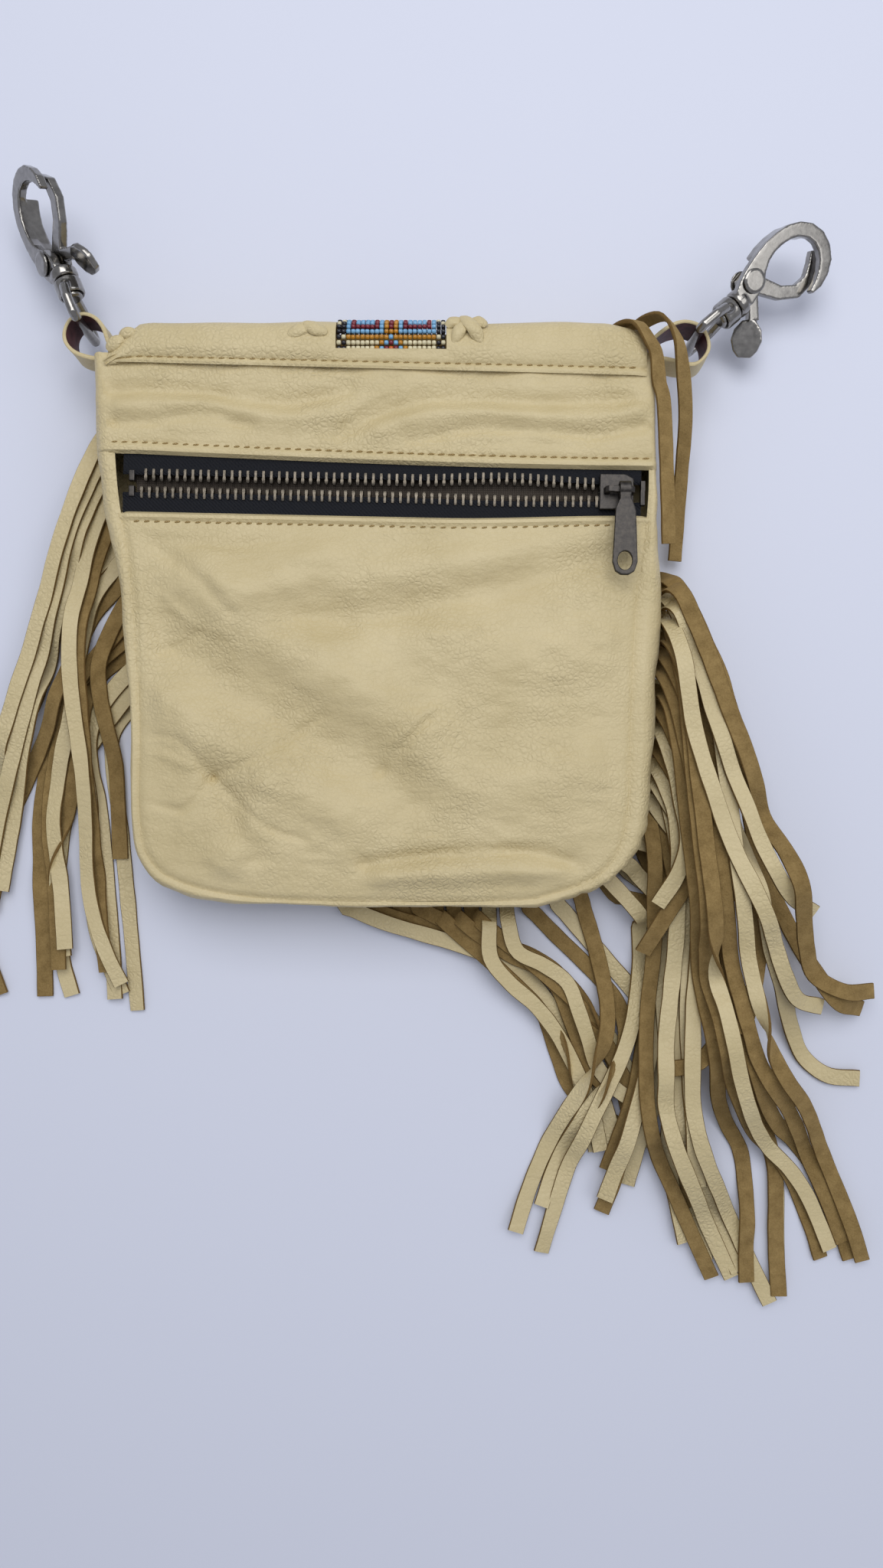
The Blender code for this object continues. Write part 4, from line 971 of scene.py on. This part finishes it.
def loomed_beads():
    pitch = settings("bead").pitch / MM
    run = lengths(FOLD)
    out = fold_frame(FOLD)
    columns = int((bead_width / 2 - 0.8) / pitch)
    count = int((BEADS_TO - BEADS_FROM) / pitch)
    names = list(BEAD_COLOURS)
    chance = random.Random(3)
    parts, picks = [], []
    for row in range(count):
        s = BEADS_FROM + (row + 0.5) * (BEADS_TO - BEADS_FROM) / count
        swell = 0.3 + bead_swell * math.sin(math.pi * min(row / count * 1.6, 1.0))
        y = np.interp(s, run, FOLD[:, 0]) + swell * np.interp(s, run, out[:, 0])
        z = np.interp(s, run, FOLD[:, 1]) + swell * np.interp(s, run, out[:, 1])
        for column in range(-columns, columns + 1):
            place = (
                bead_centre + column * pitch + chance.uniform(-0.06, 0.06),
                y + chance.uniform(-0.05, 0.05),
                z + chance.uniform(-0.06, 0.06),
            )
            size = chance.uniform(0.92, 1.0)
            part = barrel(place, pitch / 2 * 0.94 * size, (pitch / 2 + 0.02) * size)
            parts.append(part)
            picks += [names.index(bead_colour(row, abs(column)))] * len(part[1])
    points, faces, _ = joined(parts)
    points[:, 2] = np.maximum(points[:, 2], 0.02)
    make("loomed_beads", points, faces, names, replaces=["bead_strip"], picks=picks, sharp=60)
    inner = (run > BEADS_FROM - 2.2) & (run < BEADS_TO + 2.2)
    half = bead_width / 2 + 2.0
    across = np.linspace(bead_centre - half, bead_centre + half, 8)
    grid = np.array([[(x, y, z) for x in across] for y, z in FOLD[inner]])
    out = fold_frame(FOLD[inner])
    grid[:, :, 1] -= (out[:, 0] * 0.95)[:, None]
    grid[:, :, 2] -= (out[:, 1] * 0.95)[:, None]
    points, faces = sheet(grid, 0.4)
    make("bead_backing", points, faces, ["suede"])


def stitches(name, rows, pitch=3.9, length=2.6, radius=0.34, lean=0.16):
    """Rows of single stitches; each row is a path on the leather with the leather's up direction."""
    parts = []
    for path, up in rows:
        run = lengths(path)
        for s in np.arange(pitch / 2, run[-1] - pitch / 3, pitch):
            place = np.array([np.interp(s, run, path[:, k]) for k in range(3)])
            ahead = np.array([np.interp(s + 0.6, run, path[:, k]) for k in range(3)]) - place
            ahead /= max(np.linalg.norm(ahead), 1e-6)
            side = np.cross(up, ahead)
            ahead = ahead + side * lean
            along = np.linspace(-0.5, 0.5, 6)
            line = [place + ahead * length * t + np.array(up) * (0.34 - 1.5 * t**2) for t in along]
            ring = [(math.cos(a), math.sin(a)) for a in np.linspace(0, 2 * math.pi, 7)[:-1]]
            size = np.array([0.55, 0.95, 1.0, 1.0, 0.95, 0.55])[:, None] * radius
            parts.append(ribbon(line, np.tile(up, (6, 1)), ring, np.repeat(size, 2, axis=1)))
    points, faces, _ = joined(parts)
    make(name, points, faces, ["thread"])


def seam_stitching():
    up = (0.0, 0.0, 1.0)
    x = np.linspace(-103, 96, 120)
    run = lengths(FOLD)
    place = [np.interp(band_stitch, run, FOLD[:, k]) for k in (0, 1)]
    first = np.column_stack([x, flap_row(x, place[0], band_stitch), place[1] + flap_lift(x, band_stitch)])
    left, right = seam_sides(62.0)
    x = np.linspace(left - 2, right + 1, 120)
    y = upper_edge(x) + turned_width
    second = np.column_stack([x, y, upper_height(x, y)])
    left, right = seam_sides(34.0)
    x = np.linspace(left + 3.5, right - 4, 120)
    y = lower_edge(x) - turned_width
    third = np.column_stack([x, y, lower_height(x, y)])
    stitches("panel_stitches", [(first, up), (second, up), (third, up)], radius=0.42)
    frame_rows = []
    beside = (run > BEADS_FROM - 1) & (run < BEADS_TO + 1)
    for edge in (bead_centre - bead_width / 2 - 1.5, bead_centre + bead_width / 2 + 1.5):
        out = fold_frame(FOLD)[beside]
        line = np.column_stack([np.full(beside.sum(), edge), FOLD[beside] + out * 0.75])
        frame_rows += [(line[k : k + 5], (0.0, *out[k + 2])) for k in range(0, len(line) - 5, 4)]
    stitches("bead_frame_stitches", frame_rows, pitch=3.3, length=2.0, radius=0.3, lean=0.0)


def lining_sheet():
    low, high = box_mm("pocket_lining")
    dip = low[2] + 1.0
    shape = (
        (14.5, tape_level - 0.9),
        (10.0, tape_level - 1.1),
        (6.6, dip + 1.2),
        (0.0, dip + 0.2),
        (-6.6, dip + 1.2),
        (-11.5, tape_level - 1.1),
        (-18.0, tape_level - 1.0),
        (-24.0, dip + 0.4),
        (-70.0, dip - 1.2),
        (-118.0, dip - 1.2),
    )
    path = smooth_path(shape, 3.0)
    rows = []
    for offset, level in path:
        left, right = seam_sides(zip_centre[1] + offset)
        x = np.linspace(left + 6.0, right - 6.0, 80)
        y = zip_line(x, offset)
        flat = np.column_stack([x, y, np.zeros(len(x))])
        rows.append(np.column_stack([x, y, level - 0.2 + 0.2 * rough(flat, 8.0, 11)]))
    points, faces = sheet(np.array(rows)[::-1], 0.6)
    lining = make("lining_sheet", points, faces, ["cotton"], replaces=["pocket_lining"])


def zip_place(x, y, z):
    """A point of the zip's own frame in the part's frame."""
    cos, sin = math.cos(zip_tilt), math.sin(zip_tilt)
    return (zip_centre[0] + x * cos - y * sin, zip_centre[1] + x * sin + y * cos, tape_level + z)


def row_bow(x, side):
    """How far a row bows away from the zip's middle line beside the slider."""
    share = 1.0 if side > 0 else 0.35
    return share * settings("zip").parting / MM * math.sin(math.pi * min(max((x - 12) / 66, 0), 1)) ** 1.5


def tooth(x, side):
    """A clamped tooth: a waist behind a rounded head, and legs that grip the tape."""
    stations = (
        (0.0, 0.5, 0.8),
        (0.1, 0.78, 1.1),
        (0.34, 0.8, 1.2),
        (0.5, 0.6, 1.15),
        (0.8, 0.66, 1.2),
        (1.0, 0.6, 1.0),
    )
    bow = row_bow(x, side)
    path, scales = [], []
    for share, half_wide, half_high in stations:
        across = side * (tooth_inner + bow + share * (tooth_root + 0.5 - tooth_inner))
        path.append(zip_place(x, across, 0.0))
        scales.append((half_wide, half_high))
    ring = [(0.72, 1), (1, 0.6), (1, -0.6), (0.72, -1), (-0.72, -1), (-1, -0.6), (-1, 0.6), (-0.72, 1)]
    return ribbon(path, np.tile((0.0, 0.0, 1.0), (len(path), 1)), ring, scales)


def zip_rows():
    count = int(2 * row_half_length / tooth_pitch)
    for name, side in (("upper", 1), ("lower", -1)):
        start = -count * tooth_pitch / 2 + (tooth_pitch / 2 if side > 0 else 0) + 0.8
        teeth = [tooth(start + k * tooth_pitch, side) for k in range(count)]
        points, faces, _ = joined(teeth)
        stands_for = [f"zip_teeth_{name}"]
        make(f"teeth_{name}", points, faces, ["teeth"], replaces=stands_for, sharp=50)
        rows = []
        for across in np.linspace(3.4, 16.4, 14):
            row = []
            for x in np.arange(-101.0, 97.5, 0.3):
                slant = x + (0.5 * across if int(across / 2.2) % 2 else -0.5 * across)
                rib = 0.09 * math.cos(2 * math.pi * slant / 1.2)
                cord = 0.55 * hump(across - 4.4, 0.8)
                row.append(zip_place(x, side * (across + row_bow(x, side)), 0.4 + rib + cord))
            rows.append(row)
        grid = np.array(rows)
        points, faces = sheet(grid if side > 0 else grid[::-1], 0.7)
        make(f"tape_{name}", points, faces, ["tape"], replaces=[f"zip_tape_{name}"])


CAST = {
    "zip_slider": ("slider", 0.2, 5),
    "zip_pull": ("slider", 0.22, 6),
    "zip_stop_upper": ("slider", 0.2, 4),
    "zip_stop_lower": ("slider", 0.2, 4),
    "zip_bottom_stop": ("slider", 0.2, 4),
    "left_eye": ("nickel", 0.4, 6),
    "right_eye": ("nickel", 0.4, 6),
    "left_hook": ("nickel", 0.35, 14),
    "right_hook": ("nickel", 0.35, 14),
    "left_gate": ("nickel", 0.35, 12),
    "right_gate": ("nickel", 0.35, 12),
    "left_rivet": ("nickel", 0.25, 4),
    "right_rivet": ("nickel", 0.25, 4),
    "left_gate_spring": ("steel", 0.25, 3),
    "right_gate_spring": ("steel", 0.25, 3),
}


def round_castings():
    """Softens the corners of the metal nodes, as casting and tumbling do, with modifiers alone."""
    for name, (finish, cell, passes) in CAST.items():
        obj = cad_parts[name]
        weld = obj.modifiers.new("weld", "WELD")
        weld.merge_threshold = 0.00001
        remesh = obj.modifiers.new("remesh", "REMESH")
        remesh.mode = "VOXEL"
        remesh.voxel_size = cell * MM
        remesh.use_smooth_shade = True
        soften = obj.modifiers.new("soften", "SMOOTH")
        soften.factor = 0.5
        soften.iterations = passes
        repaint(obj, finish)


def repaint(obj, finish):
    obj.data.materials.clear()
    obj.data.materials.append(finish_of(finish))


STRIPS = (
    "flap_fringe_bottom",
    "flap_fringe_corner",
    "flap_fringe_right",
    "seam_fringe_corner",
    "seam_fringe_right",
    "flap_fringe_left",
    "flap_fringe_top_left",
)


def strands_of(node):
    """The middle lines of a strip's strands, from root to cut end, read off the solid's upright edges."""
    posts = rim_posts(node)
    count = len(posts)
    found = []
    for k in range(count):
        a, b = posts[k], posts[(k + 1) % count]
        back = posts[k - 1][:2] - a[:2]
        onward = posts[(k + 2) % count][:2] - b[:2]
        size = np.linalg.norm(back) * np.linalg.norm(onward)
        if abs(np.linalg.norm(a[:2] - b[:2]) - strand_width) > 0.15 or size < 9 or back @ onward < 0.8 * size:
            continue
        line = []
        left, right = k, k + 1
        while len(line) < 60:
            p, q = posts[left % count], posts[right % count]
            line.append([(p[0] + q[0]) / 2, (p[1] + q[1]) / 2, (p[2] + p[3] + q[2] + q[3]) / 4])
            before, after = posts[(left - 1) % count], posts[(right + 1) % count]
            steps = (np.linalg.norm(before[:2] - p[:2]), np.linalg.norm(after[:2] - q[:2]))
            if min(steps) < 1.5 or abs(np.linalg.norm(before[:2] - after[:2]) - strand_width) > 1.0:
                break
            left -= 1
            right += 1
        if len(line) > 3:
            found.append(np.array(line[::-1]))
    return found


STRAND_SECTION = (
    (-0.93, -1.0),
    (-1.0, -0.5),
    (-1.0, 0.5),
    (-0.93, 1.0),
    (0.0, 1.08),
    (0.93, 1.0),
    (1.0, 0.5),
    (1.0, -0.5),
    (0.93, -1.0),
    (0.0, -0.94),
)


def strand(line, chance, curl):
    """One cut strand that rolls and wavers a little on its way and may lift or turn over near its end."""
    path = smooth_path(line, 2.4)
    run = lengths(path)
    total = run[-1]
    free = ease((run - 24.0) / 20.0)
    most = np.radians(chance.uniform(4, 13))
    roll = most * np.sin(run / chance.uniform(14, 24) + chance.uniform(0, 6)) * free
    if chance.random() < 0.16 and total > 110:
        start = chance.uniform(0.45, 0.6) * total
        turn = math.pi * ease((run - start) / 38.0) * chance.choice((-1, 1))
        roll = roll + turn
    lift = (strand_width - strand_thickness) / 2 * np.abs(np.sin(roll)) * 0.8
    tip = np.clip((run - total + 26.0) / 26.0, 0, 1) ** 2 * chance.uniform(0, 1) ** 2 * curl
    path[:, 2] += lift + tip
    tangent = np.gradient(path, axis=0)
    tangent /= np.linalg.norm(tangent, axis=1, keepdims=True)
    side = np.cross(tangent, (0, 0, 1))
    side /= np.linalg.norm(side, axis=1, keepdims=True)
    ups = np.cross(side, tangent) * np.cos(roll)[:, None] + side * np.sin(roll)[:, None]
    width = strand_width / 2 * chance.uniform(0.9, 1.0)
    phase = chance.uniform(0, 50)
    wave = np.array([noise.noise(Vector((s / 9.0 + phase, phase, 0))) for s in run])
    scales = np.column_stack([width * (1 + 0.07 * wave), np.full(len(run), strand_thickness / 2)])
    return ribbon(path, ups, STRAND_SECTION, scales)


def fringe_strip(node, number):
    look = settings("fringe")
    chance = random.Random(40 + number)
    parts, picks = [], []
    count = len(STRAND_SECTION)
    roots = []
    for line in strands_of(node):
        points, faces = strand(line, chance, look.curl / MM)
        roots.append(line[0])
        # The left strips lie smooth side up less often, so more dark suede shows there: partly the real mix
        # of sides, partly painted shade for the shadow over the left fringe
        grain_up = chance.random() < look.grain_share * (0.8 if "left" in node else 1.0)
        for index in range(len(faces) - 2):
            k = index % count
            if k in (3, 4):
                picks.append(0 if grain_up else 1)
            elif k in (8, 9):
                picks.append(1 if grain_up else 0)
            else:
                picks.append(2)
        picks += [2, 2]
        parts.append((points, faces))
    roots = np.array(roots)
    if np.linalg.norm(roots[-1] - roots[0]) > 10:
        middle = np.array([2.0, 0.0, roots[0][2]])
        inward = middle - roots
        inward[:, 2] = 0
        inward /= np.linalg.norm(inward, axis=1, keepdims=True)
        band = ribbon(
            roots + inward * 2.5,
            np.tile((0.0, 0.0, 1.0), (len(roots), 1)),
            [(-1, -1), (1, -1), (1, 1), (-1, 1)],
            np.tile((2.8, strand_thickness / 2), (len(roots), 1)),
        )
        parts.append(band)
        picks += [1] * len(band[1])
    points, faces, _ = joined(parts)
    points[:, 2] = np.maximum(points[:, 2], 0.03)
    make(
        node.replace("fringe", "strands"),
        points,
        faces,
        ["hide", "suede", "edge"],
        replaces=[node],
        picks=picks,
        sharp=35,
    )


def softened(node, levels=2):
    """A node's solid as quads with its cut edges kept and the rest rounded, as points and faces."""
    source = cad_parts[node].data
    bm = bmesh.new()
    bm.from_mesh(source)
    bmesh.ops.remove_doubles(bm, verts=bm.verts, dist=0.00002)
    bmesh.ops.join_triangles(bm, faces=bm.faces, angle_face_threshold=0.3, angle_shape_threshold=3.0)
    layer = bm.edges.layers.float.get("crease_edge") or bm.edges.layers.float.new("crease_edge")
    for edge in bm.edges:
        if len(edge.link_faces) == 2 and edge.calc_face_angle(0) > 1.0:
            edge[layer] = 0.85
    mesh = bpy.data.meshes.new(f"{node}_soft")
    bm.to_mesh(mesh)
    bm.free()
    helper = bpy.data.objects.new(f"{node}_helper", mesh)
    bpy.context.scene.collection.objects.link(helper)
    modifier = helper.modifiers.new("soft", "SUBSURF")
    modifier.levels = levels
    modifier.render_levels = levels
    evaluated = helper.evaluated_get(bpy.context.evaluated_depsgraph_get()).to_mesh()
    points = np.array([v.co for v in evaluated.vertices]) / MM
    faces = [list(p.vertices) for p in evaluated.polygons]
    normals = np.array([p.normal for p in evaluated.polygons])
    centres = np.array([p.center for p in evaluated.polygons]) / MM
    bpy.data.objects.remove(helper)
    return points, faces, normals, centres


def strap_loops():
    for side, heart in (("left", (-115.5, 109.0)), ("right", (114.0, 107.0))):
        points, faces, normals, centres = softened(f"{side}_loop")
        flat = points * (1.0, 1.0, 0.5)
        points[:, 0] += 0.4 * rough(flat, 9.0, 21)
        points[:, 1] += 0.4 * rough(flat, 9.0, 22)
        towards = np.array(heart) - centres[:, :2]
        inner = (np.einsum("ij,ij->i", towards, normals[:, :2]) > 0) & (np.abs(normals[:, 2]) < 0.5)
        picks = np.where(inner & (np.linalg.norm(towards, axis=1) < 17), 1, 0)
        make(
            f"{side}_strap_loop",
            points,
            faces,
            ["hide", "burgundy"],
            replaces=[f"{side}_loop"],
            picks=picks,
        )


# The routes of the two laces: the same points as the part's source has
LACES = {
    "inner_lace": (
        (86, 112.6, 9),
        (88, 113.0, 18),
        (92, 113.5, 27),
        (96, 110.5, 34.5),
        (100, 103, 36.9),
        (102.5, 98, 36.5),
        (104, 88, 34.6),
        (106, 79, 34),
        (108, 44, 31),
        (108.8, 28, 29),
    ),
    "outer_lace": (
        (95, 113, 12),
        (97, 113.6, 20),
        (101, 114.5, 28),
        (106, 113, 34),
        (110, 106, 36),
        (112.6, 98, 34),
        (116, 79, 26),
        (117, 60, 15),
        (117, 45, 9),
        (116, 26, 7),
    ),
}
lace_width = 5.8


def hanging_laces():
    for name, way in LACES.items():
        line = smooth_path(way, 2.0)
        tangent = np.gradient(line, axis=0)
        inside = np.clip(line, (-91.5, -111.5, 15), (91.5, 99.5, 25))
        across = np.cross(tangent, line - inside)
        across /= np.linalg.norm(across, axis=1, keepdims=True)
        across *= np.sign(across[:, :1])
        run = lengths(line)
        turned = ease((run - 26.0) / 26.0)[:, None]
        across = across * (1 - turned) + np.array([1.0, 0.12, -0.25]) * turned
        ups = np.cross(tangent, across)
        ups /= np.linalg.norm(ups, axis=1, keepdims=True)
        wave = np.array([noise.noise(Vector((s / 8.0, len(name), 0))) for s in run])
        widths = lace_width / 2 * (1 + 0.06 * wave)
        scales = np.column_stack([widths, np.full(len(line), strand_thickness / 2)])
        points, faces = ribbon(line, ups, STRAND_SECTION, scales)
        count = len(STRAND_SECTION)
        picks = [1 if (k % count) in (0, 1, 2, 5, 6, 7) else 0 for k in range(len(faces))]
        finishes = ["suede", "edge"]
        lace = make(f"suede_{name}", points, faces, finishes, replaces=[name], picks=picks)


def lobe(start, end, half_wide, half_high, bend, rise):
    """One plump turn of a flat lace: pinched at both ends, wide and crowned in the middle."""
    start, end = np.array(start, float), np.array(end, float)
    along = end - start
    side = np.array([-along[1], along[0], 0.0]) / max(np.linalg.norm(along[:2]), 1e-6)
    share = np.linspace(0, 1, 13)
    path = start + along * share[:, None] + side * (bend * np.sin(np.pi * share))[:, None]
    path[:, 2] += rise * np.sin(np.pi * share)
    size = 0.42 + 0.58 * np.sin(np.pi * share) ** 0.6
    ring = [(math.cos(a), math.sin(a)) for a in np.linspace(0, 2 * math.pi, 13)[:-1]]
    scales = np.column_stack([half_wide * size, half_high * (0.6 + 0.4 * np.sin(np.pi * share))])
    return ribbon(path, np.tile((0.0, 0.0, 1.0), (13, 1)), ring, scales)


# Each knot: the middle of its place on the fold, and its turns of lace
KNOTS = {
    "left_knot": (
        (-29.0, 107.2, 35.6),
        (
            ((-7.4, -1.8, 0), (0.4, 0.6, 0.2), 2.5, 1.4, 0.5, 0.6),
            ((-1.9, 2.6, 0.4), (7.0, -0.8, 0), 2.7, 1.5, -0.4, 1.0),
        ),
    ),
    "right_knot": (
        (31.0, 107.6, 35.2),
        (
            ((-7.4, 1.4, 0), (-2.6, 4.4, 0.3), 2.3, 1.2, 0.4, 0.6),
            ((2.4, 4.6, 0.3), (7.2, 1.6, 0), 2.2, 1.2, 0.4, 0.6),
            ((-4.9, -5.4, 0), (0.2, 3.4, 0.4), 2.5, 1.4, 0.6, 0.9),
            ((-2.4, 5.2, 0.4), (5.6, -4.8, 0), 2.8, 1.5, 0.6, 1.8),
        ),
    ),
}


def lace_knots():
    for name, (middle, turns) in KNOTS.items():
        parts = []
        for start, end, wide, high, bend, rise in turns:
            points, faces = lobe(start, end, wide, high, bend, rise)
            points[:, 2] -= 0.035 * np.maximum(points[:, 1] + 2.0, 0) ** 2
            parts.append((points + np.array(middle), faces))
        points, faces, _ = joined(parts)
        points = points + 0.18 * np.column_stack([rough(points, 3.0, 31 + k) for k in range(3)])
        make(f"{name}_lace", points, faces, ["hide"], replaces=[name])
    corner = [
        lobe((-105.4, 100.6, 33.4), (-99.4, 104.6, 34.0), 2.6, 1.5, 0.5, 0.8),
        lobe((-100.8, 105.8, 33.4), (-94.6, 107.0, 33.2), 2.3, 1.5, 0.5, 0.9),
    ]
    points, faces, _ = joined(corner)
    make("corner_knot_lace", points, faces, ["hide"])


def hidden_front():
    repaint(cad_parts["front_panel"], "hide")


def stage():
    look = settings("stage")
    size = 3000.0
    mesh = bpy.data.meshes.new("floor")
    corners = [(-size, -size, -0.05), (size, -size, -0.05), (size, size, -0.05), (-size, size, -0.05)]
    mesh.from_pydata([tuple(c * MM for c in p) for p in corners], [], [(0, 1, 2, 3)])
    floor = bpy.data.objects.new("floor", mesh)
    bpy.context.scene.collection.objects.link(floor)
    made, tree, shader, place = start_material("painted_board_floor", Roughness=0.75)
    shader.inputs["Base Color"].default_value = tuple(look.floor)
    mesh.materials.append(made)
    world = bpy.data.worlds.new("studio")
    bpy.context.scene.world = world
    world.use_nodes = True
    ground = world.node_tree.nodes["Background"]
    ground.inputs["Color"].default_value = linear("#E9ECF6")
    ground.inputs["Strength"].default_value = 0.46
    for name, place, width, watts in (
        ("overhead_panel", (0.0, 0.42, 1.0), 0.8, 6.4),
        ("side_panel", (0.7, 0.05, 0.9), 0.6, 1.8),
    ):
        lamp = bpy.data.lights.new(name, "AREA")
        lamp.shape = "SQUARE"
        lamp.size = width
        lamp.energy = watts
        light = bpy.data.objects.new(name, lamp)
        light.location = place
        aim = Vector((0.02, -0.05, 0.0)) - Vector(place)
        light.rotation_euler = aim.to_track_quat("-Z", "Y").to_euler()
        bpy.context.scene.collection.objects.link(light)
    camera = bpy.data.cameras.new("camera")
    camera.sensor_width = 36.0
    camera.lens = 36.0 * camera_focal_pixels / photo_height
    camera.clip_start = 0.01
    eye = bpy.data.objects.new("camera", camera)
    eye.location = [c * MM for c in camera_place]
    bpy.context.scene.collection.objects.link(eye)
    bpy.context.scene.camera = eye
    bpy.context.scene.view_settings.view_transform = "Standard"


def operator(name, label, description, *steps):
    """An operator class that runs the building steps of one piece or group of pieces."""

    def execute(self, context):
        for step in steps:
            step()
        return {"FINISHED"}

    return type(
        f"PURSE_OT_{name}",
        (bpy.types.Operator,),
        {"bl_idname": f"purse.{name}", "bl_label": label, "__doc__": description, "execute": execute},
    )


def all_fringe():
    for number, node in enumerate(STRIPS):
        fringe_strip(node, number)


OPERATORS = (
    operator("stage", "Stage", "Lay the floor, set the lamps and place the camera", stage),
    operator("laces", "Laces", "Hang the two suede laces", hanging_laces),
    operator("panels", "Panels", "Make the back panels and folds", lower_panel, upper_panel, hidden_front),
    operator("gusset", "Gusset", "Wrap the gusset round the bag's side", gusset_strip),
    operator("flap", "Flap", "Fold the flap over the top", flap_sheet),
    operator("beads", "Beads", "Loom the bead strip over the fold", loomed_beads),
    operator("lining", "Lining", "Hang the cloth pocket", lining_sheet),
    operator("zip", "Zip", "Weave the tapes and clamp the teeth", zip_rows),
    operator("castings", "Castings", "Round the cast metal pieces", round_castings),
    operator("fringe", "Fringe", "Cut the fringe strands", all_fringe),
    operator("loops", "Loops", "Shape the two strap loops", strap_loops),
    operator("knots", "Knots", "Tie the lace knots", lace_knots),
    operator("stitching", "Stitching", "Sew the rows of stitches", seam_stitching),
)

GROUPS = {
    "leather": LeatherSettings,
    "zip": ZipSettings,
    "bead": BeadSettings,
    "fringe": FringeSettings,
    "stage": StageSettings,
}


class PURSE_PT_panel(bpy.types.Panel):
    """Lists the purse's building steps and settings."""

    bl_idname = "PURSE_PT_panel"
    bl_label = "Purse"
    bl_space_type = "VIEW_3D"
    bl_region_type = "UI"
    bl_category = "Purse"

    def draw(self, context):
        for made in OPERATORS:
            self.layout.operator(made.bl_idname)
        for name, group in GROUPS.items():
            for setting in group.__annotations__:
                self.layout.prop(settings(name), setting)


def register():
    for cls in (*GROUPS.values(), *OPERATORS, PURSE_PT_panel):
        bpy.utils.register_class(cls)
    for name, group in GROUPS.items():
        setattr(bpy.types.Scene, f"purse_{name}", bpy.props.PointerProperty(type=group))


def unregister():
    for name in GROUPS:
        delattr(bpy.types.Scene, f"purse_{name}")
    for cls in (PURSE_PT_panel, *reversed(OPERATORS), *reversed(GROUPS.values())):
        bpy.utils.unregister_class(cls)


def main():
    register()
    for made in OPERATORS:
        getattr(bpy.ops.purse, made.bl_idname.split(".")[1])()


if __name__ == "__main__":
    main()
